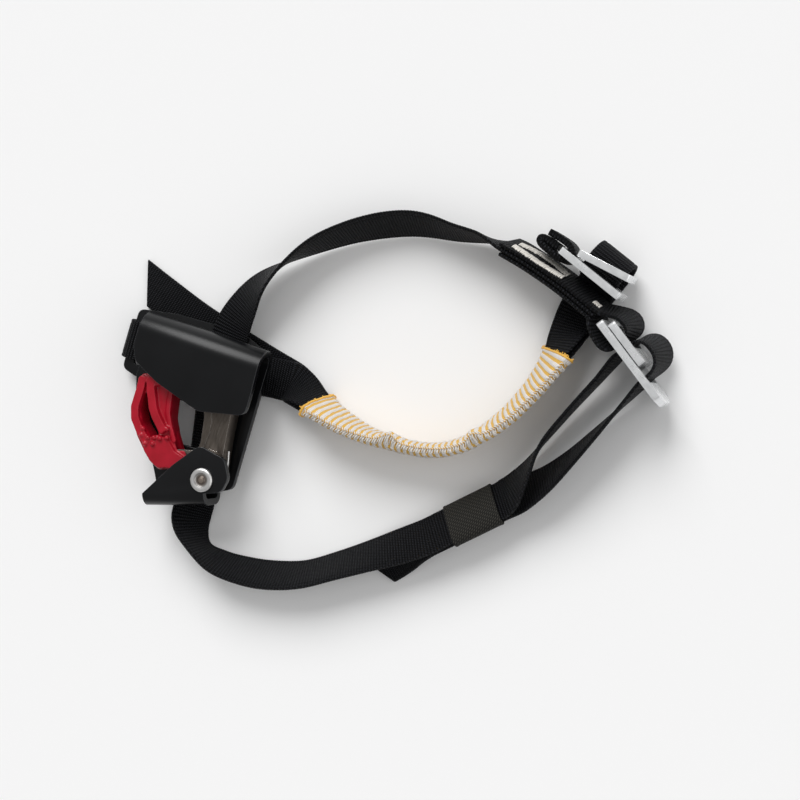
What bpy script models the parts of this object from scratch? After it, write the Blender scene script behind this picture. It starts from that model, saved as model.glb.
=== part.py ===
"""Foot ascender: a spring-loaded toothed cam in a folded frame, with boot straps.

The device lies on its back. Its own axes are +X along the rope channel (up in
use), +Y from the cam's axle towards the channel, +Z out of the front flap.
Everything hangs on the empty device_frame, whose origin is on the cam's axle
at floor level. Lengths below are millimetres and become metres through MM.
"""
import math

import bmesh
import bpy
from mathutils import Matrix, Vector

MM = 0.001

# ---- driving dimensions, millimetres ----
AXLE_AT = (-63.4, -61.1)       # cam axle from the middle of the whole object
SHEET = 3.2                   # frame sheet thickness
BACK_Z = 8.8                  # rear face of the frame's back plate
INSIDE = 14.0                 # clear depth between back plate and flaps
CHANNEL_Y = 59.3              # centre line of the rope channel's bend
WEB_WIDTH = 20.0              # all webbing
WEB_THICK = 1.6
LAYER = 1.1                   # half pitch of two stacked webbings
FOOT_LAYER = 1.25             # and where they twist together
PLATE_Z = 4.4                 # rear face of the strap plate
PLATE_THICK = 2.0
CAM_THICK = 10.0
CAM_BOSS = 6.9                # radius of the cam's boss
AXLE_RADIUS = 3.0
BUSH_RADIUS = 3.9
PIN_AT = (-19.0, 3.0)         # trigger pin, from the cam axle
BUCKLE_PLATE = 3.4            # buckle plate thickness
STATION_STEP = 5.5            # spacing of the sections along a strap
TWIST_STEP = 5.5              # most a strap twists between two sections, degrees

FLAP_Z = BACK_Z + SHEET + INSIDE
MID_Z = BACK_Z + SHEET + INSIDE / 2


# ---- scene, collections, materials ----
def clear_scene():
    for obj in list(bpy.data.objects):
        bpy.data.objects.remove(obj, do_unlink=True)


def new_collection(name):
    collection = bpy.data.collections.new(name)
    bpy.context.scene.collection.children.link(collection)
    return collection


def material(name, colour, roughness, metallic=0.0):
    made = bpy.data.materials.new(name)
    made.use_nodes = True
    shader = made.node_tree.nodes["Principled BSDF"]
    shader.inputs["Base Color"].default_value = (*colour, 1.0)
    shader.inputs["Roughness"].default_value = roughness
    shader.inputs["Metallic"].default_value = metallic
    return made


clear_scene()
PARTS = new_collection("foot_ascender")
CUTTERS = new_collection("cutters")
ANODISED = material("black_anodised", (0.012, 0.013, 0.015), 0.38, 0.6)
STEEL = material("satin_steel", (0.30, 0.27, 0.25), 0.35, 1.0)
BRIGHT = material("turned_steel", (0.62, 0.60, 0.58), 0.22, 1.0)
ALUMINIUM = material("silver_aluminium", (0.80, 0.81, 0.82), 0.30, 1.0)
BRASS = material("bronze_bush", (0.55, 0.38, 0.16), 0.35, 1.0)
RED = material("red_plastic", (0.42, 0.008, 0.03), 0.40)
NYLON = material("grey_nylon", (0.35, 0.35, 0.35), 0.55)
WEBBING = material("black_webbing", (0.018, 0.019, 0.021), 0.80)
ELASTIC = material("keeper_elastic", (0.05, 0.05, 0.045), 0.85)
SLEEVING = material("sleeve_weave", (0.80, 0.66, 0.36), 0.80)
THREAD = material("white_thread", (0.80, 0.78, 0.72), 0.75)

DEVICE = bpy.data.objects.new("device_frame", None)
PARTS.objects.link(DEVICE)
DEVICE.location = (AXLE_AT[0] * MM, AXLE_AT[1] * MM, 0.0)


# ---- building blocks ----
def place(obj, at=(0, 0, 0), turn=(0, 0, 0), collection=PARTS):
    collection.objects.link(obj)
    obj.parent = DEVICE
    obj.location = [value * MM for value in at]
    obj.rotation_euler = turn
    return obj


def as_cutter(obj):
    obj.hide_render = True
    obj.display_type = "WIRE"
    return obj


def cut(obj, cutter, operation="DIFFERENCE"):
    modifier = obj.modifiers.new(operation.lower(), "BOOLEAN")
    modifier.operation = operation
    modifier.solver = "EXACT"
    modifier.object = cutter
    return obj


def rounded(points, radius, steps=4):
    """The polygon's corners as arcs; a point's third value is its own radius."""
    outline = []
    count = len(points)
    for index, point in enumerate(points):
        here = Vector(point[:2])
        size = point[2] if len(point) > 2 else radius
        if size <= 0:
            outline.append(tuple(here))
            continue
        before = Vector(points[index - 1][:2]) - here
        after = Vector(points[(index + 1) % count][:2]) - here
        half = before.angle(after) / 2
        reach = min(size / math.tan(half), before.length * 0.48, after.length * 0.48)
        start = here + before.normalized() * reach
        end = here + after.normalized() * reach
        for step in range(steps + 1):
            t = step / steps
            outline.append(tuple(start.lerp(here, t).lerp(here.lerp(end, t), t)))
    return outline


def circle(centre, radius, count=24):
    turns = [2 * math.pi * index / count for index in range(count)]
    return [(centre[0] + radius * math.cos(a), centre[1] + radius * math.sin(a)) for a in turns]


def slab(name, loops, low, thick, look, at=(0, 0, 0), turn=(0, 0, 0), collection=PARTS):
    """A flat outline with holes, from height low up through thick, as a mesh."""
    curve = bpy.data.curves.new(name, "CURVE")
    curve.dimensions = "2D"
    curve.fill_mode = "BOTH"
    curve.extrude = thick / 2 * MM
    for loop in loops:
        spline = curve.splines.new("POLY")
        spline.points.add(len(loop) - 1)
        for point, (x, y) in zip(spline.points, loop):
            point.co = (x * MM, y * MM, 0.0, 1.0)
        spline.use_cyclic_u = True
    drawn = bpy.data.objects.new(name + "_outline", curve)
    CUTTERS.objects.link(drawn)
    graph = bpy.context.evaluated_depsgraph_get()
    mesh = bpy.data.meshes.new_from_object(drawn.evaluated_get(graph))
    bpy.data.objects.remove(drawn, do_unlink=True)
    mesh.transform(Matrix.Translation((0, 0, (low + thick / 2) * MM)))
    weld(mesh)
    mesh.name = name
    mesh.materials.clear()
    mesh.materials.append(look)
    return place(bpy.data.objects.new(name, mesh), at, turn, collection)


def weld(mesh):
    shape = bmesh.new()
    shape.from_mesh(mesh)
    bmesh.ops.remove_doubles(shape, verts=shape.verts, dist=0.00001)
    bmesh.ops.recalc_face_normals(shape, faces=shape.faces)
    shape.to_mesh(mesh)
    shape.free()


def turned(name, profile, look, at=(0, 0, 0), steps=28, collection=PARTS):
    """A profile of (radius, height), top to bottom, turned about its own Z."""
    shape = bmesh.new()
    verts = [shape.verts.new((x * MM, 0.0, z * MM)) for x, z in profile]
    for first, second in zip(verts, verts[1:]):
        shape.edges.new((first, second))
    if profile[0][0] > 0:
        shape.edges.new((verts[-1], verts[0]))
    mesh = bpy.data.meshes.new(name)
    shape.to_mesh(mesh)
    shape.free()
    mesh.materials.append(look)
    obj = place(bpy.data.objects.new(name, mesh), at, collection=collection)
    screw = obj.modifiers.new("turn", "SCREW")
    screw.steps = steps
    screw.render_steps = steps
    screw.use_merge_vertices = True
    screw.merge_threshold = 0.00001
    return obj


def wire(name, points, radius, look, at=(0, 0, 0)):
    curve = bpy.data.curves.new(name, "CURVE")
    curve.dimensions = "3D"
    curve.bevel_depth = radius * MM
    curve.bevel_resolution = 2
    curve.use_fill_caps = True
    spline = curve.splines.new("POLY")
    spline.points.add(len(points) - 1)
    for point, place_at in zip(spline.points, points):
        point.co = (*[value * MM for value in place_at], 1.0)
    curve.materials.append(look)
    return place(bpy.data.objects.new(name, curve), at)


# ---- straps: a smooth track of (point, width direction) pairs ----
def smooth(stations, step=STATION_STEP):
    """Catmull-Rom through the stations, whose first three values are a place."""
    padded = [stations[0], *stations, stations[-1]]
    track = []
    for index in range(1, len(padded) - 2):
        p0, p1, p2, p3 = padded[index - 1:index + 3]
        length = (Vector(p2[:3]) - Vector(p1[:3])).length
        twist = abs(p2[3] - p1[3]) if len(p2) > 3 else 0.0
        count = max(2, round(length / step), round(twist / TWIST_STEP))
        for number in range(count):
            t = number / count
            track.append([
                0.5 * (2 * b + (c - a) * t + (2 * a - 5 * b + 4 * c - d) * t * t
                       + (3 * b - a - 3 * c + d) * t ** 3)
                for a, b, c, d in zip(p0, p1, p2, p3)])
    track.append(list(stations[-1]))
    return track


def leaning(stations, offset=0.0, step=STATION_STEP):
    """Stations (x, y, z, lean): lean is the width's angle above the floor on the left."""
    track = smooth(stations, step)
    frames = []
    for index, station in enumerate(track):
        here = Vector(station[:3])
        ahead = Vector(track[min(index + 1, len(track) - 1)][:3])
        behind = Vector(track[max(index - 1, 0)][:3])
        along = (ahead - behind).normalized()
        left = Vector((-along.y, along.x, 0.0)).normalized()
        lean = math.radians(station[3])
        across = left * math.cos(lean) + Vector((0, 0, math.sin(lean)))
        across = (across - along * across.dot(along)).normalized()
        frames.append((here + along.cross(across) * offset, across))
    return frames


def folding(points, across, step=2.5):
    """A track that folds about an axis along its width, such as round a bar."""
    return [(Vector(point), Vector(across).normalized()) for point in smooth(points, step)]


def swept(name, frames, section, look, thick, closed=False):
    """An open surface along the frames with the section (across, proud), made thick."""
    shape = bmesh.new()
    rows = []
    for index, (here, across) in enumerate(frames):
        ahead = frames[min(index + 1, len(frames) - 1)][0]
        behind = frames[max(index - 1, 0)][0]
        proud = (ahead - behind).normalized().cross(across).normalized()
        rows.append([shape.verts.new((here + across * x + proud * y) * MM) for x, y in section])
    for first, second in zip(rows, rows[1:]):
        pairs = list(zip(first, second))
        if closed:
            pairs.append(pairs[0])
        for (a, b), (c, d) in zip(pairs, pairs[1:]):
            shape.faces.new((a, b, d, c))
    mesh = bpy.data.meshes.new(name)
    shape.to_mesh(mesh)
    shape.free()
    mesh.materials.append(look)
    obj = place(bpy.data.objects.new(name, mesh))
    solid = obj.modifiers.new("thickness", "SOLIDIFY")
    solid.thickness = thick * MM
    solid.offset = 0.0
    return obj


def strap(name, frames, look=WEBBING, width=WEB_WIDTH, thick=WEB_THICK):
    return swept(name, frames, [(-width / 2, 0), (0, 0), (width / 2, 0)], look, thick)


def oval(half_width, half_height, chamfer):
    """A flattened ring section, for a tube round flat webbing."""
    w, h, c = half_width, half_height, chamfer
    return [(w, -h + c), (w, h - c), (w - c, h), (0, h), (c - w, h), (-w, h - c),
            (-w, c - h), (c - w, -h), (0, -h), (w - c, -h)]


# ---- frame ----
LOWER_FOLD = [(-28.8, -16.8), (2.7, -6.2)]
BACK_OUTLINE = [(-57.0, CHANNEL_Y), (-58.6, 36.0, 6), (-56.0, 27.0, 6), (-34.0, -7.5, 8),
                *LOWER_FOLD, (9.6, -2.6, 5), (9.0, CHANNEL_Y)]
FLAP_OUTLINE = [(11.0, CHANNEL_Y), (11.6, 48.0, 5), (11.6, 36.8, 5), (-12.8, 31.2, 8),
                (-38.0, 37.8, 12), (-53.0, 44.6, 7), (-56.0, 52.0, 7), (-56.0, CHANNEL_Y)]
LOWER_OUTLINE = [LOWER_FOLD[1], (11.4, -2.6, 5), (12.9, 5.0, 6), (8.0, 13.4, 5), (-6.6, 15.6, 6),
                 (-17.4, 1.8, 16), LOWER_FOLD[0]]
WINDOW = [(-36.0, 31.0, 5), (-10.0, 31.0, 5), (-10.0, 11.0, 5), (-28.0, 9.5, 5), (-34.5, 20.0, 6)]
FOLD_RADIUS = 4.5


def folded_frame():
    """The sheet's middle surface, flat faces and bends, made thick afterwards."""
    shape = bmesh.new()
    low = BACK_Z + SHEET / 2
    high = FLAP_Z + SHEET / 2

    def vert(x, y, z):
        return shape.verts.new((x * MM, y * MM, z * MM))

    def flat(outline, z):
        return shape.faces.new([vert(x, y, z) for x, y in outline])

    back = rounded(BACK_OUTLINE, 0, 3)
    flap = rounded(FLAP_OUTLINE, 0, 3)
    lower = rounded(LOWER_OUTLINE, 0, 3)
    flat(back, low)
    flat(flap, high)
    flat(lower, high)
    radius = (high - low) / 2
    bend_steps = 12
    bend = [(CHANNEL_Y + radius * math.sin(math.pi * i / bend_steps),
             (low + high) / 2 - radius * math.cos(math.pi * i / bend_steps),
             i / bend_steps) for i in range(bend_steps + 1)]
    rows = [(vert(-57.0 + t, y, z), vert(9.0 + 2 * t, y, z)) for y, z, t in bend]
    start, end = Vector(LOWER_FOLD[0]), Vector(LOWER_FOLD[1])
    out = Vector(((end - start).y, -(end - start).x)).normalized()
    fold_steps = 4
    corner = [(FOLD_RADIUS * math.sin(math.pi / 2 * i / fold_steps),
               FOLD_RADIUS * (1 - math.cos(math.pi / 2 * i / fold_steps)))
              for i in range(fold_steps + 1)]
    wall = [(reach, low + rise) for reach, rise in corner]
    wall += [(reach, high - rise) for reach, rise in reversed(corner)]
    fold_rows = []
    for reach, z in wall:
        a, b = start + out * reach, end + out * reach
        fold_rows.append((vert(a.x, a.y, z), vert(b.x, b.y, z)))
    for strip in (rows, fold_rows):
        for (a, b), (c, d) in zip(strip, strip[1:]):
            shape.faces.new((a, b, d, c))
    bmesh.ops.remove_doubles(shape, verts=shape.verts, dist=0.00001)
    bmesh.ops.recalc_face_normals(shape, faces=shape.faces)
    mesh = bpy.data.meshes.new("frame")
    shape.to_mesh(mesh)
    shape.free()
    mesh.materials.append(ANODISED)
    obj = place(bpy.data.objects.new("frame", mesh))
    solid = obj.modifiers.new("sheet", "SOLIDIFY")
    solid.thickness = SHEET * MM
    solid.offset = 0.0
    solid.use_even_offset = True
    window = slab("cut_window", [rounded(WINDOW, 0, 3)], BACK_Z - 2, SHEET + 4, ANODISED,
                  collection=CUTTERS)
    cut(obj, as_cutter(window))
    bore = turned("cut_axle_bore", [(0, 40), (AXLE_RADIUS + 0.3, 40), (AXLE_RADIUS + 0.3, 0), (0, 0)],
                  ANODISED, collection=CUTTERS)
    cut(obj, as_cutter(bore))
    for name, (x, y) in RIVETS.items():
        hole = turned("cut_" + name, [(0, 16), (2.3, 16), (2.3, 2), (0, 2)], ANODISED, (x, y, 0),
                      16, CUTTERS)
        cut(obj, as_cutter(hole))
    return obj


# ---- strap plate, its spacers and rivets ----
RIVETS = {"plate_rivet_left": (-46.0, 46.0), "plate_rivet_right": (1.5, 46.0)}
PLATE_OUTLINE = [(-70.0, 36.0, 4), (-70.0, 67.5, 4), (-49.0, 71.0, 6), (-27.0, 72.0, 10),
                 (-7.0, 71.0, 6), (4.5, 67.0, 4), (6.5, 38.0, 4), (-18.0, 35.0, 6), (-62.0, 34.0, 4)]
EAR_SLOT = [(-64.8, 40.0, 1.4), (-64.8, 63.0, 1.4), (-58.4, 63.0, 1.4), (-58.4, 40.0, 1.4)]


def strap_plate():
    holes = [circle(at, 2.3, 16) for at in RIVETS.values()]
    return slab("strap_plate", [rounded(PLATE_OUTLINE, 0, 3), rounded(EAR_SLOT, 0, 2), *holes],
                PLATE_Z, PLATE_THICK, ANODISED)


def plate_fixings():
    plate_top = PLATE_Z + PLATE_THICK
    for name, (x, y) in RIVETS.items():
        turned(name, [(0, BACK_Z + SHEET + 1.2), (3.0, BACK_Z + SHEET + 0.9),
                      (3.4, BACK_Z + SHEET + 0.3), (2.0, BACK_Z + SHEET + 0.3),
                      (2.0, PLATE_Z + 0.1), (0, PLATE_Z + 0.1)], BRIGHT, (x, y, 0), 20)
        spacer = name.replace("rivet", "spacer")
        turned(spacer, [(2.4, BACK_Z - 0.3), (4.5, BACK_Z - 0.3), (4.5, plate_top + 0.3),
                        (2.4, plate_top + 0.3)], NYLON, (x, y, 0), 20)


# ---- cam, axle, bush, washers, spring ----
def cam_outline():
    """Boss round the axle, waisted arm and a toothed head on a spiral."""
    teeth = []
    count = 11
    for index in range(count + 1):
        angle = math.radians(96 + 26 * index / count)
        radius = 62.5 - 4.2 * (index / count) ** 1.3
        teeth.append((radius * math.cos(angle), radius * math.sin(angle)))
        if index < count:
            middle = math.radians(96 + 26 * (index + 0.72) / count)
            teeth.append(((radius - 1.7) * math.cos(middle), (radius - 1.7) * math.sin(middle)))
    right = [(6.7, 3.0, 2), (4.8, 13.0, 6), (3.2, 26.0, 8), (2.0, 42.0, 12), (-2.0, 55.0, 6)]
    left = [(-31.0, 46.0, 4), (-17.0, 40.0, 10), (-10.8, 30.0, 10), (-8.4, 15.0, 8), (-11.5, 8.0, 4)]
    boss = [(CAM_BOSS * math.cos(a), CAM_BOSS * math.sin(a)) for a in
            [math.radians(180 + 180 * i / 11) for i in range(12)]]
    return rounded([*right, *teeth, *left, *boss], 0, 3)


def cam():
    half = CAM_THICK / 2
    body = slab("cam", [cam_outline()], -half, CAM_THICK, STEEL, (0, 0, MID_Z))
    lobe = rounded([(0.0, -4.5, 1), (0.0, 8.0, 1), (-12.0, 11.0, 4), (-24.5, 7.5, 5),
                    (-23.5, -2.0, 5)], 0, 3)
    ear = slab("cut_cam_ear", [lobe], -2.5, 5.0, STEEL, (0, 0, MID_Z), collection=CUTTERS)
    cut(body, as_cutter(ear), "UNION")
    recess = turned("cut_spring_recess", [(0, half + 4), (7.6, half + 4), (7.6, 1.4), (0, 1.4)],
                    STEEL, (0, 0, MID_Z), collection=CUTTERS)
    cut(body, as_cutter(recess))
    pocket = rounded([(-6.2, 31.0, 3), (-0.4, 31.0, 3), (1.6, 17.0, 3), (-5.2, 17.0, 3)], 0, 2)
    for side, low in (("front", half - 1.5), ("rear", -half - 2.0)):
        well = slab("cut_cam_pocket_" + side, [pocket], low, 3.5, STEEL, (0, 0, MID_Z), collection=CUTTERS)
        cut(body, as_cutter(well))
    bores = slab("cut_cam_bores", [circle((0, 0), BUSH_RADIUS + 0.3)], -9, 18, STEEL,
                 (0, 0, MID_Z), collection=CUTTERS)
    cut(body, as_cutter(bores))
    pin_bore = slab("cut_cam_pin_bore", [circle(PIN_AT, 1.8, 16)], -9, 18, STEEL,
                    (0, 0, MID_Z), collection=CUTTERS)
    cut(body, as_cutter(pin_bore))
    return body


def axle_group():
    top = FLAP_Z + SHEET
    turned("cam_axle", [(0, top + 1.5), (1.6, top + 1.5), (1.9, top + 1.1), (3.2, top + 1.1),
                        (3.5, top + 1.7), (5.2, top + 1.7), (5.9, top + 1.1), (5.9, top + 0.3),
                        (AXLE_RADIUS, top + 0.3), (AXLE_RADIUS, BACK_Z - 0.3), (5.0, BACK_Z - 0.3),
                        (4.6, BACK_Z - 1.3), (2.0, BACK_Z - 1.6), (0, BACK_Z - 1.6)], BRIGHT)
    low, high = BACK_Z + SHEET + 0.3, FLAP_Z - 0.3
    turned("axle_bush", [(AXLE_RADIUS + 0.3, high), (BUSH_RADIUS, high), (BUSH_RADIUS, low),
                         (AXLE_RADIUS + 0.3, low)], BRASS)
    inner = BUSH_RADIUS + 0.3
    turned("cam_washer_rear", [(inner, MID_Z - CAM_THICK / 2 - 0.3), (6.6, MID_Z - CAM_THICK / 2 - 0.3),
                               (6.6, low), (inner, low)], NYLON)
    turned("cam_washer_front", [(inner, high), (6.6, high), (6.6, high - 0.8), (inner, high - 0.8)], NYLON)


def cam_spring():
    """A torsion coil round the bush, one leg up the cam's arm, one on the wall."""
    radius, wire_radius, turns = 5.6, 0.6, 2
    bottom = MID_Z + 1.4 + 0.3 + wire_radius
    pitch = 1.3
    coil = [(5.9, 16.5, bottom), (7.4, 9.5, bottom), (7.7, 4.0, bottom), (6.6, 1.4, bottom)]
    steps = 16 * turns + 4
    for index in range(steps + 1):
        angle = math.radians(5) - 2 * math.pi * index / 16
        coil.append((radius * math.cos(angle), radius * math.sin(angle), bottom + pitch * index / 16))
    coil += [(-4.5, -6.6, coil[-1][2]), (-9.0, -9.4, coil[-1][2])]
    return wire("cam_spring", coil, wire_radius, BRIGHT)


# ---- trigger ----
TRIGGER_OUTLINE = [(-16.8, 9.6, 2), (-20.2, 7.8, 3), (-25.2, 15.0, 5), (-29.0, 22.0, 6),
                   (-31.0, 33.0, 3),
                   (-33.5, 39.5, 3), (-49.5, 39.5, 3), (-52.0, 35.5, 1.5), (-50.2, 32.0, 1.5),
                   (-50.8, 19.0, 8),
                   (-43.8, 8.2, 3), (-38.0, 2.6, 2), (-32.5, -2.0, 4), (-27.0, -4.2, 3),
                   (-23.0, -2.6, 3),
                   (-14.6, -1.2, 3), (-13.6, 6.0, 3)]
TRIGGER_SLOT = [(-46.0, 30.5, 1.0), (-42.6, 29.5, 1.0), (-40.3, 23.6, 4), (-36.4, 17.6, 4),
                (-31.8, 11.8, 1.2), (-35.0, 9.2, 1.2), (-42.6, 15.2, 5), (-46.0, 21.5, 5)]
TRIGGER_LOW, TRIGGER_HIGH = BACK_Z + SHEET + 0.8, FLAP_Z - 0.8


def about_pin(points):
    return [(p[0] - PIN_AT[0], p[1] - PIN_AT[1], *p[2:]) for p in points]


def trigger():
    at = (*PIN_AT, 0)
    loops = [rounded(about_pin(TRIGGER_OUTLINE), 0, 3), rounded(about_pin(TRIGGER_SLOT), 0, 3)]
    body = slab("trigger", loops, TRIGGER_LOW, TRIGGER_HIGH - TRIGGER_LOW, RED, at)
    fork = rounded(about_pin([(-26.0, 20.0, 0), (-26.8, 2.0, 5), (-25.6, -9.0, 0),
                              (2.0, -9.0, 0), (2.0, 20.0, 0)]), 0, 3)
    gap = slab("cut_trigger_fork", [fork], MID_Z - 2.9, 5.8, RED, at, collection=CUTTERS)
    cut(body, as_cutter(gap))
    hole = turned("cut_trigger_bore", [(0, 40), (1.8, 40), (1.8, 0), (0, 0)], RED, at, 16, CUTTERS)
    cut(body, as_cutter(hole))
    turned("trigger_pin", [(0, TRIGGER_HIGH), (1.5, TRIGGER_HIGH), (1.5, TRIGGER_LOW), (0, TRIGGER_LOW)],
           BRIGHT, at, 16)
    return body


# ---- straps ----
EAR_LOOP = [(-53.0, 51.5, 0.8), (-59.0, 51.5, 0.8), (-66.0, 51.5, 1.0), (-71.6, 51.5, 2.4),
            (-72.6, 51.5, 5.2), (-70.6, 51.5, 7.4), (-66.6, 51.5, 7.8), (-63.6, 51.5, 7.2),
            (-61.8, 51.5, 5.2), (-59.4, 51.5, 3.5), (-54.0, 51.5, 3.2)]
FOOT_OUT = [(-54.0, 51.5, 3.2, 0), (-30.0, 51.8, 3.2, 0), (-5.0, 53.4, 3.2, 0), (8.0, 55.8, 3.7, 0),
            (21.0, 57.2, 5.4, -8)]
FOOT_DOUBLE = [(21.0, 57.2, 4.0, -8), (27.5, 55.3, 7.4, -34), (34.5, 53.0, 10.9, -58),
               (45.0, 50.0, 13.2, -73), (57.0, 47.3, 13.6, -80), (68.0, 45.8, 13.4, -87),
               (78.0, 45.8, 13.3, -91),
               (89.0, 46.6, 13.3, -94), (101.0, 48.8, 13.3, -92), (112.0, 53.8, 13.3, -86),
               (123.0, 63.5, 13.3, -78), (133.0, 77.4, 13.3, -71), (140.5, 93.0, 13.2, -65),
               (145.4, 108.0, 13.0, -54), (146.9, 115.8, 10.6, -42), (147.1, 121.0, 7.4, -29),
               (147.4, 126.0, 4.8, -15), (147.6, 131.0, 2.5, -3), (148.6, 136.0, 2.2, 0),
               (150.0, 139.5, 2.2, 0)]
SLEEVE_X = (36.5, 146.2)      # stretch of the doubled foot strap that the sleeve covers
FOOT_TAIL = [(-72.2, 80.8, 0.85, 0), (-60.0, 76.8, 0.85, 0), (-40.0, 70.6, 0.85, 0),
             (-20.0, 65.6, 0.85, 0), (-4.0, 62.1, 0.95, 0), (8.0, 59.6, 1.1, 0), (21.0, 57.2, 2.6, -8)]
JOINT_AT, JOINT_TURN = (150.0, 139.5), -21.5
BUCKLE_1_LOOP_PATH = [(3.6, 3.4), (6.6, 4.9), (8.2, 7.6), (8.5, 10.6), (10.6, 14.6), (15.2, 16.7),
                      (20.6, 16.5),
                      (24.6, 13.7), (25.8, 9.0), (23.4, 4.0), (18.0, 1.6), (10.0, 1.2), (3.6, 1.2)]
NECK = [(160.0, 135.2, 15.2, 74), (150.0, 139.5, 15.2, 73), (138.0, 144.2, 15.2, 72),
        (122.0, 149.0, 14.8, 72), (108.0, 152.0, 13.0, 74), (95.5, 152.6, 11.4, 96),
        (81.0, 151.2, 10.3, 108),
        (67.0, 150.6, 9.6, 118), (56.0, 148.6, 9.3, 121), (43.0, 143.6, 9.6, 119),
        (29.0, 136.0, 10.2, 112),
        (15.0, 125.8, 11.0, 101), (3.0, 113.5, 12.4, 78), (-7.5, 99.5, 12.4, 48),
        (-14.0, 84.0, 9.8, 18),
        (-17.0, 72.0, 7.6, 0), (-17.0, 60.0, 7.6, 0), (-16.0, 46.0, 7.6, 0), (-14.5, 33.0, 7.2, 0),
        (-13.0, 18.0, 4.6, 0), (-11.5, 3.0, 3.0, 0), (-11.0, -14.0, 3.4, -4), (-8.5, -26.0, 8.4, -44),
        (0.0, -35.6, 10.6, -80), (12.0, -39.6, 10.4, -66), (25.0, -39.6, 9.6, -57),
        (40.0, -37.0, 9.2, -52),
        (57.0, -30.6, 9.2, -53), (73.0, -20.0, 9.2, -51), (88.0, -9.4, 9.4, -44),
        (101.0, 0.0, 9.4, -33)]
KEEPER_START, KEEPER_END = (112.0, 8.0), (142.0, 37.4)
KEEPER_Z, KEEPER_LEAN = 9.4, -30
KEEPER_SPAN = (0.30, 0.61, 0.92)   # where the keeper sits along that straight stretch
RUN_1 = [(144.6, 42.8, 12.2, -40), (148.6, 54.5, 13.4, -64), (152.8, 70.3, 14.4, -84),
         (160.5, 88.5, 14.8, -88),
         (169.0, 106.5, 15.0, -90)]
RUN_2 = [(148.4, 42.4, 8.4, -32), (158.0, 53.0, 9.8, -52), (166.5, 66.5, 11.6, -66),
         (175.0, 82.5, 13.4, -76),
         (183.0, 98.5, 14.8, -86)]
ANKLE_TAIL = [(90.2, -16.6, 1.1, 0), (96.0, -10.2, 1.3, -1), (101.2, -4.3, 2.7, -8),
              (106.4, 1.7, 5.3, -19)]
BUCKLE_2_AT, BUCKLE_2_TURN = (163.8, 130.7), -35.2
ANKLE_LOOP_PATH = [(15.2, -3.0), (15.4, 0.0), (15.2, 6.0), (16.4, 10.5), (20.0, 13.4), (25.5, 13.4),
                   (29.6, 10.5), (31.4, 6.0), (31.8, 0.0), (32.2, -3.0)]
HOLD_LOOP_PATH = [(-1.4, 7.4), (2.0, 9.8), (6.0, 10.8), (9.8, 9.2), (11.6, 5.4), (11.6, 0.0),
                  (9.6, -3.4),
                  (5.6, -4.2), (1.0, -3.6), (-2.4, -2.6)]
BUCKLE_1_HOLD_PATH = [(-22.4, 11.1), (-26.0, 10.9), (-29.0, 10.9), (-31.2, 10.4), (-32.0, 9.2),
                      (-31.0, 7.9),
                      (-28.5, 7.4), (-24.0, 7.3), (-19.0, 7.5), (-16.2, 8.7), (-14.9, 11.2),
                      (-16.2, 14.0),
                      (-19.5, 15.2), (-25.0, 14.9), (-30.0, 14.2)]
HOLD_THICK = 2.2              # that loop is of doubled webbing
JOINT_X = 107.9               # the sewn joint is the ankle strap's first stretch, down to this X
BUCKLE_Z = 15.2


def in_plan(path, at, turn, z=BUCKLE_Z):
    """Points (along, outward) of a buckle's own plan, as places."""
    angle = math.radians(turn)
    along = Vector((math.cos(angle), math.sin(angle), 0))
    outward = Vector((-math.sin(angle), math.cos(angle), 0))
    return [Vector((at[0], at[1], z)) + along * s + outward * n for s, n in path]


def reverse(frames):
    return list(reversed(frames))


def cut_at(frames, slope, reach=16.0):
    """The frames with the last few slanted, so that the strap ends in an oblique cut."""
    end = frames[-1][0]
    slanted = []
    for index, (here, across) in enumerate(frames):
        share = 1 - (end - here).length / reach if index > len(frames) - 8 else 0
        along = (here - frames[max(index - 1, 0)][0]).normalized()
        slanted.append((here, across + along * slope * max(0, share)))
    return slanted


def foot_strap():
    ear = folding(EAR_LOOP, (0, 1, 0))
    out = leaning(FOOT_OUT)
    double_out = leaning(FOOT_DOUBLE, FOOT_LAYER)
    double_back = leaning(FOOT_DOUBLE, -FOOT_LAYER)
    angle = math.radians(JOINT_TURN)
    outward = Vector((-math.sin(angle), math.cos(angle), 0))
    along = Vector((math.cos(angle), math.sin(angle), 0))
    base = Vector((JOINT_AT[0], JOINT_AT[1], 0))
    path = [base + outward * n + Vector((0, 0, z)) for n, z in BUCKLE_1_LOOP_PATH]
    loop = folding(path, -along)
    tail = leaning(FOOT_TAIL)
    there = ear[:-1] + out[:-1] + double_out
    back = reverse(double_back) + cut_at(reverse(tail[:-1]), 0.69)
    return strap("foot_strap", there + loop + back)


def keeper_track(offset=0.0):
    """The straight, evenly leaning stretch that the keeper slides on."""
    start, end = Vector((*KEEPER_START, KEEPER_Z)), Vector((*KEEPER_END, KEEPER_Z))
    along = (end - start).normalized()
    lean = math.radians(KEEPER_LEAN)
    left = Vector((-along.y, along.x, 0.0))
    proud = Vector((0, 0, math.cos(lean))) - left * math.sin(lean)
    return [(*(start.lerp(end, step / 5) + proud * offset), KEEPER_LEAN) for step in range(6)]


def ankle_strap():
    upper = leaning(NECK + keeper_track(LAYER) + RUN_1)
    loop = folding(in_plan(ANKLE_LOOP_PATH, BUCKLE_2_AT, BUCKLE_2_TURN), (0, 0, -1))
    lower = leaning(ANKLE_TAIL + keeper_track(-LAYER) + RUN_2)
    return strap("ankle_strap", upper + loop + cut_at(reverse(lower), 0.53))


def sleeve():
    frames = [frame for frame in leaning(FOOT_DOUBLE) if SLEEVE_X[0] < frame[0].x < SLEEVE_X[1]]
    return swept("sleeve", frames, oval(11.5, 3.3, 1.3), SLEEVING, 1.0, closed=True)


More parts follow.
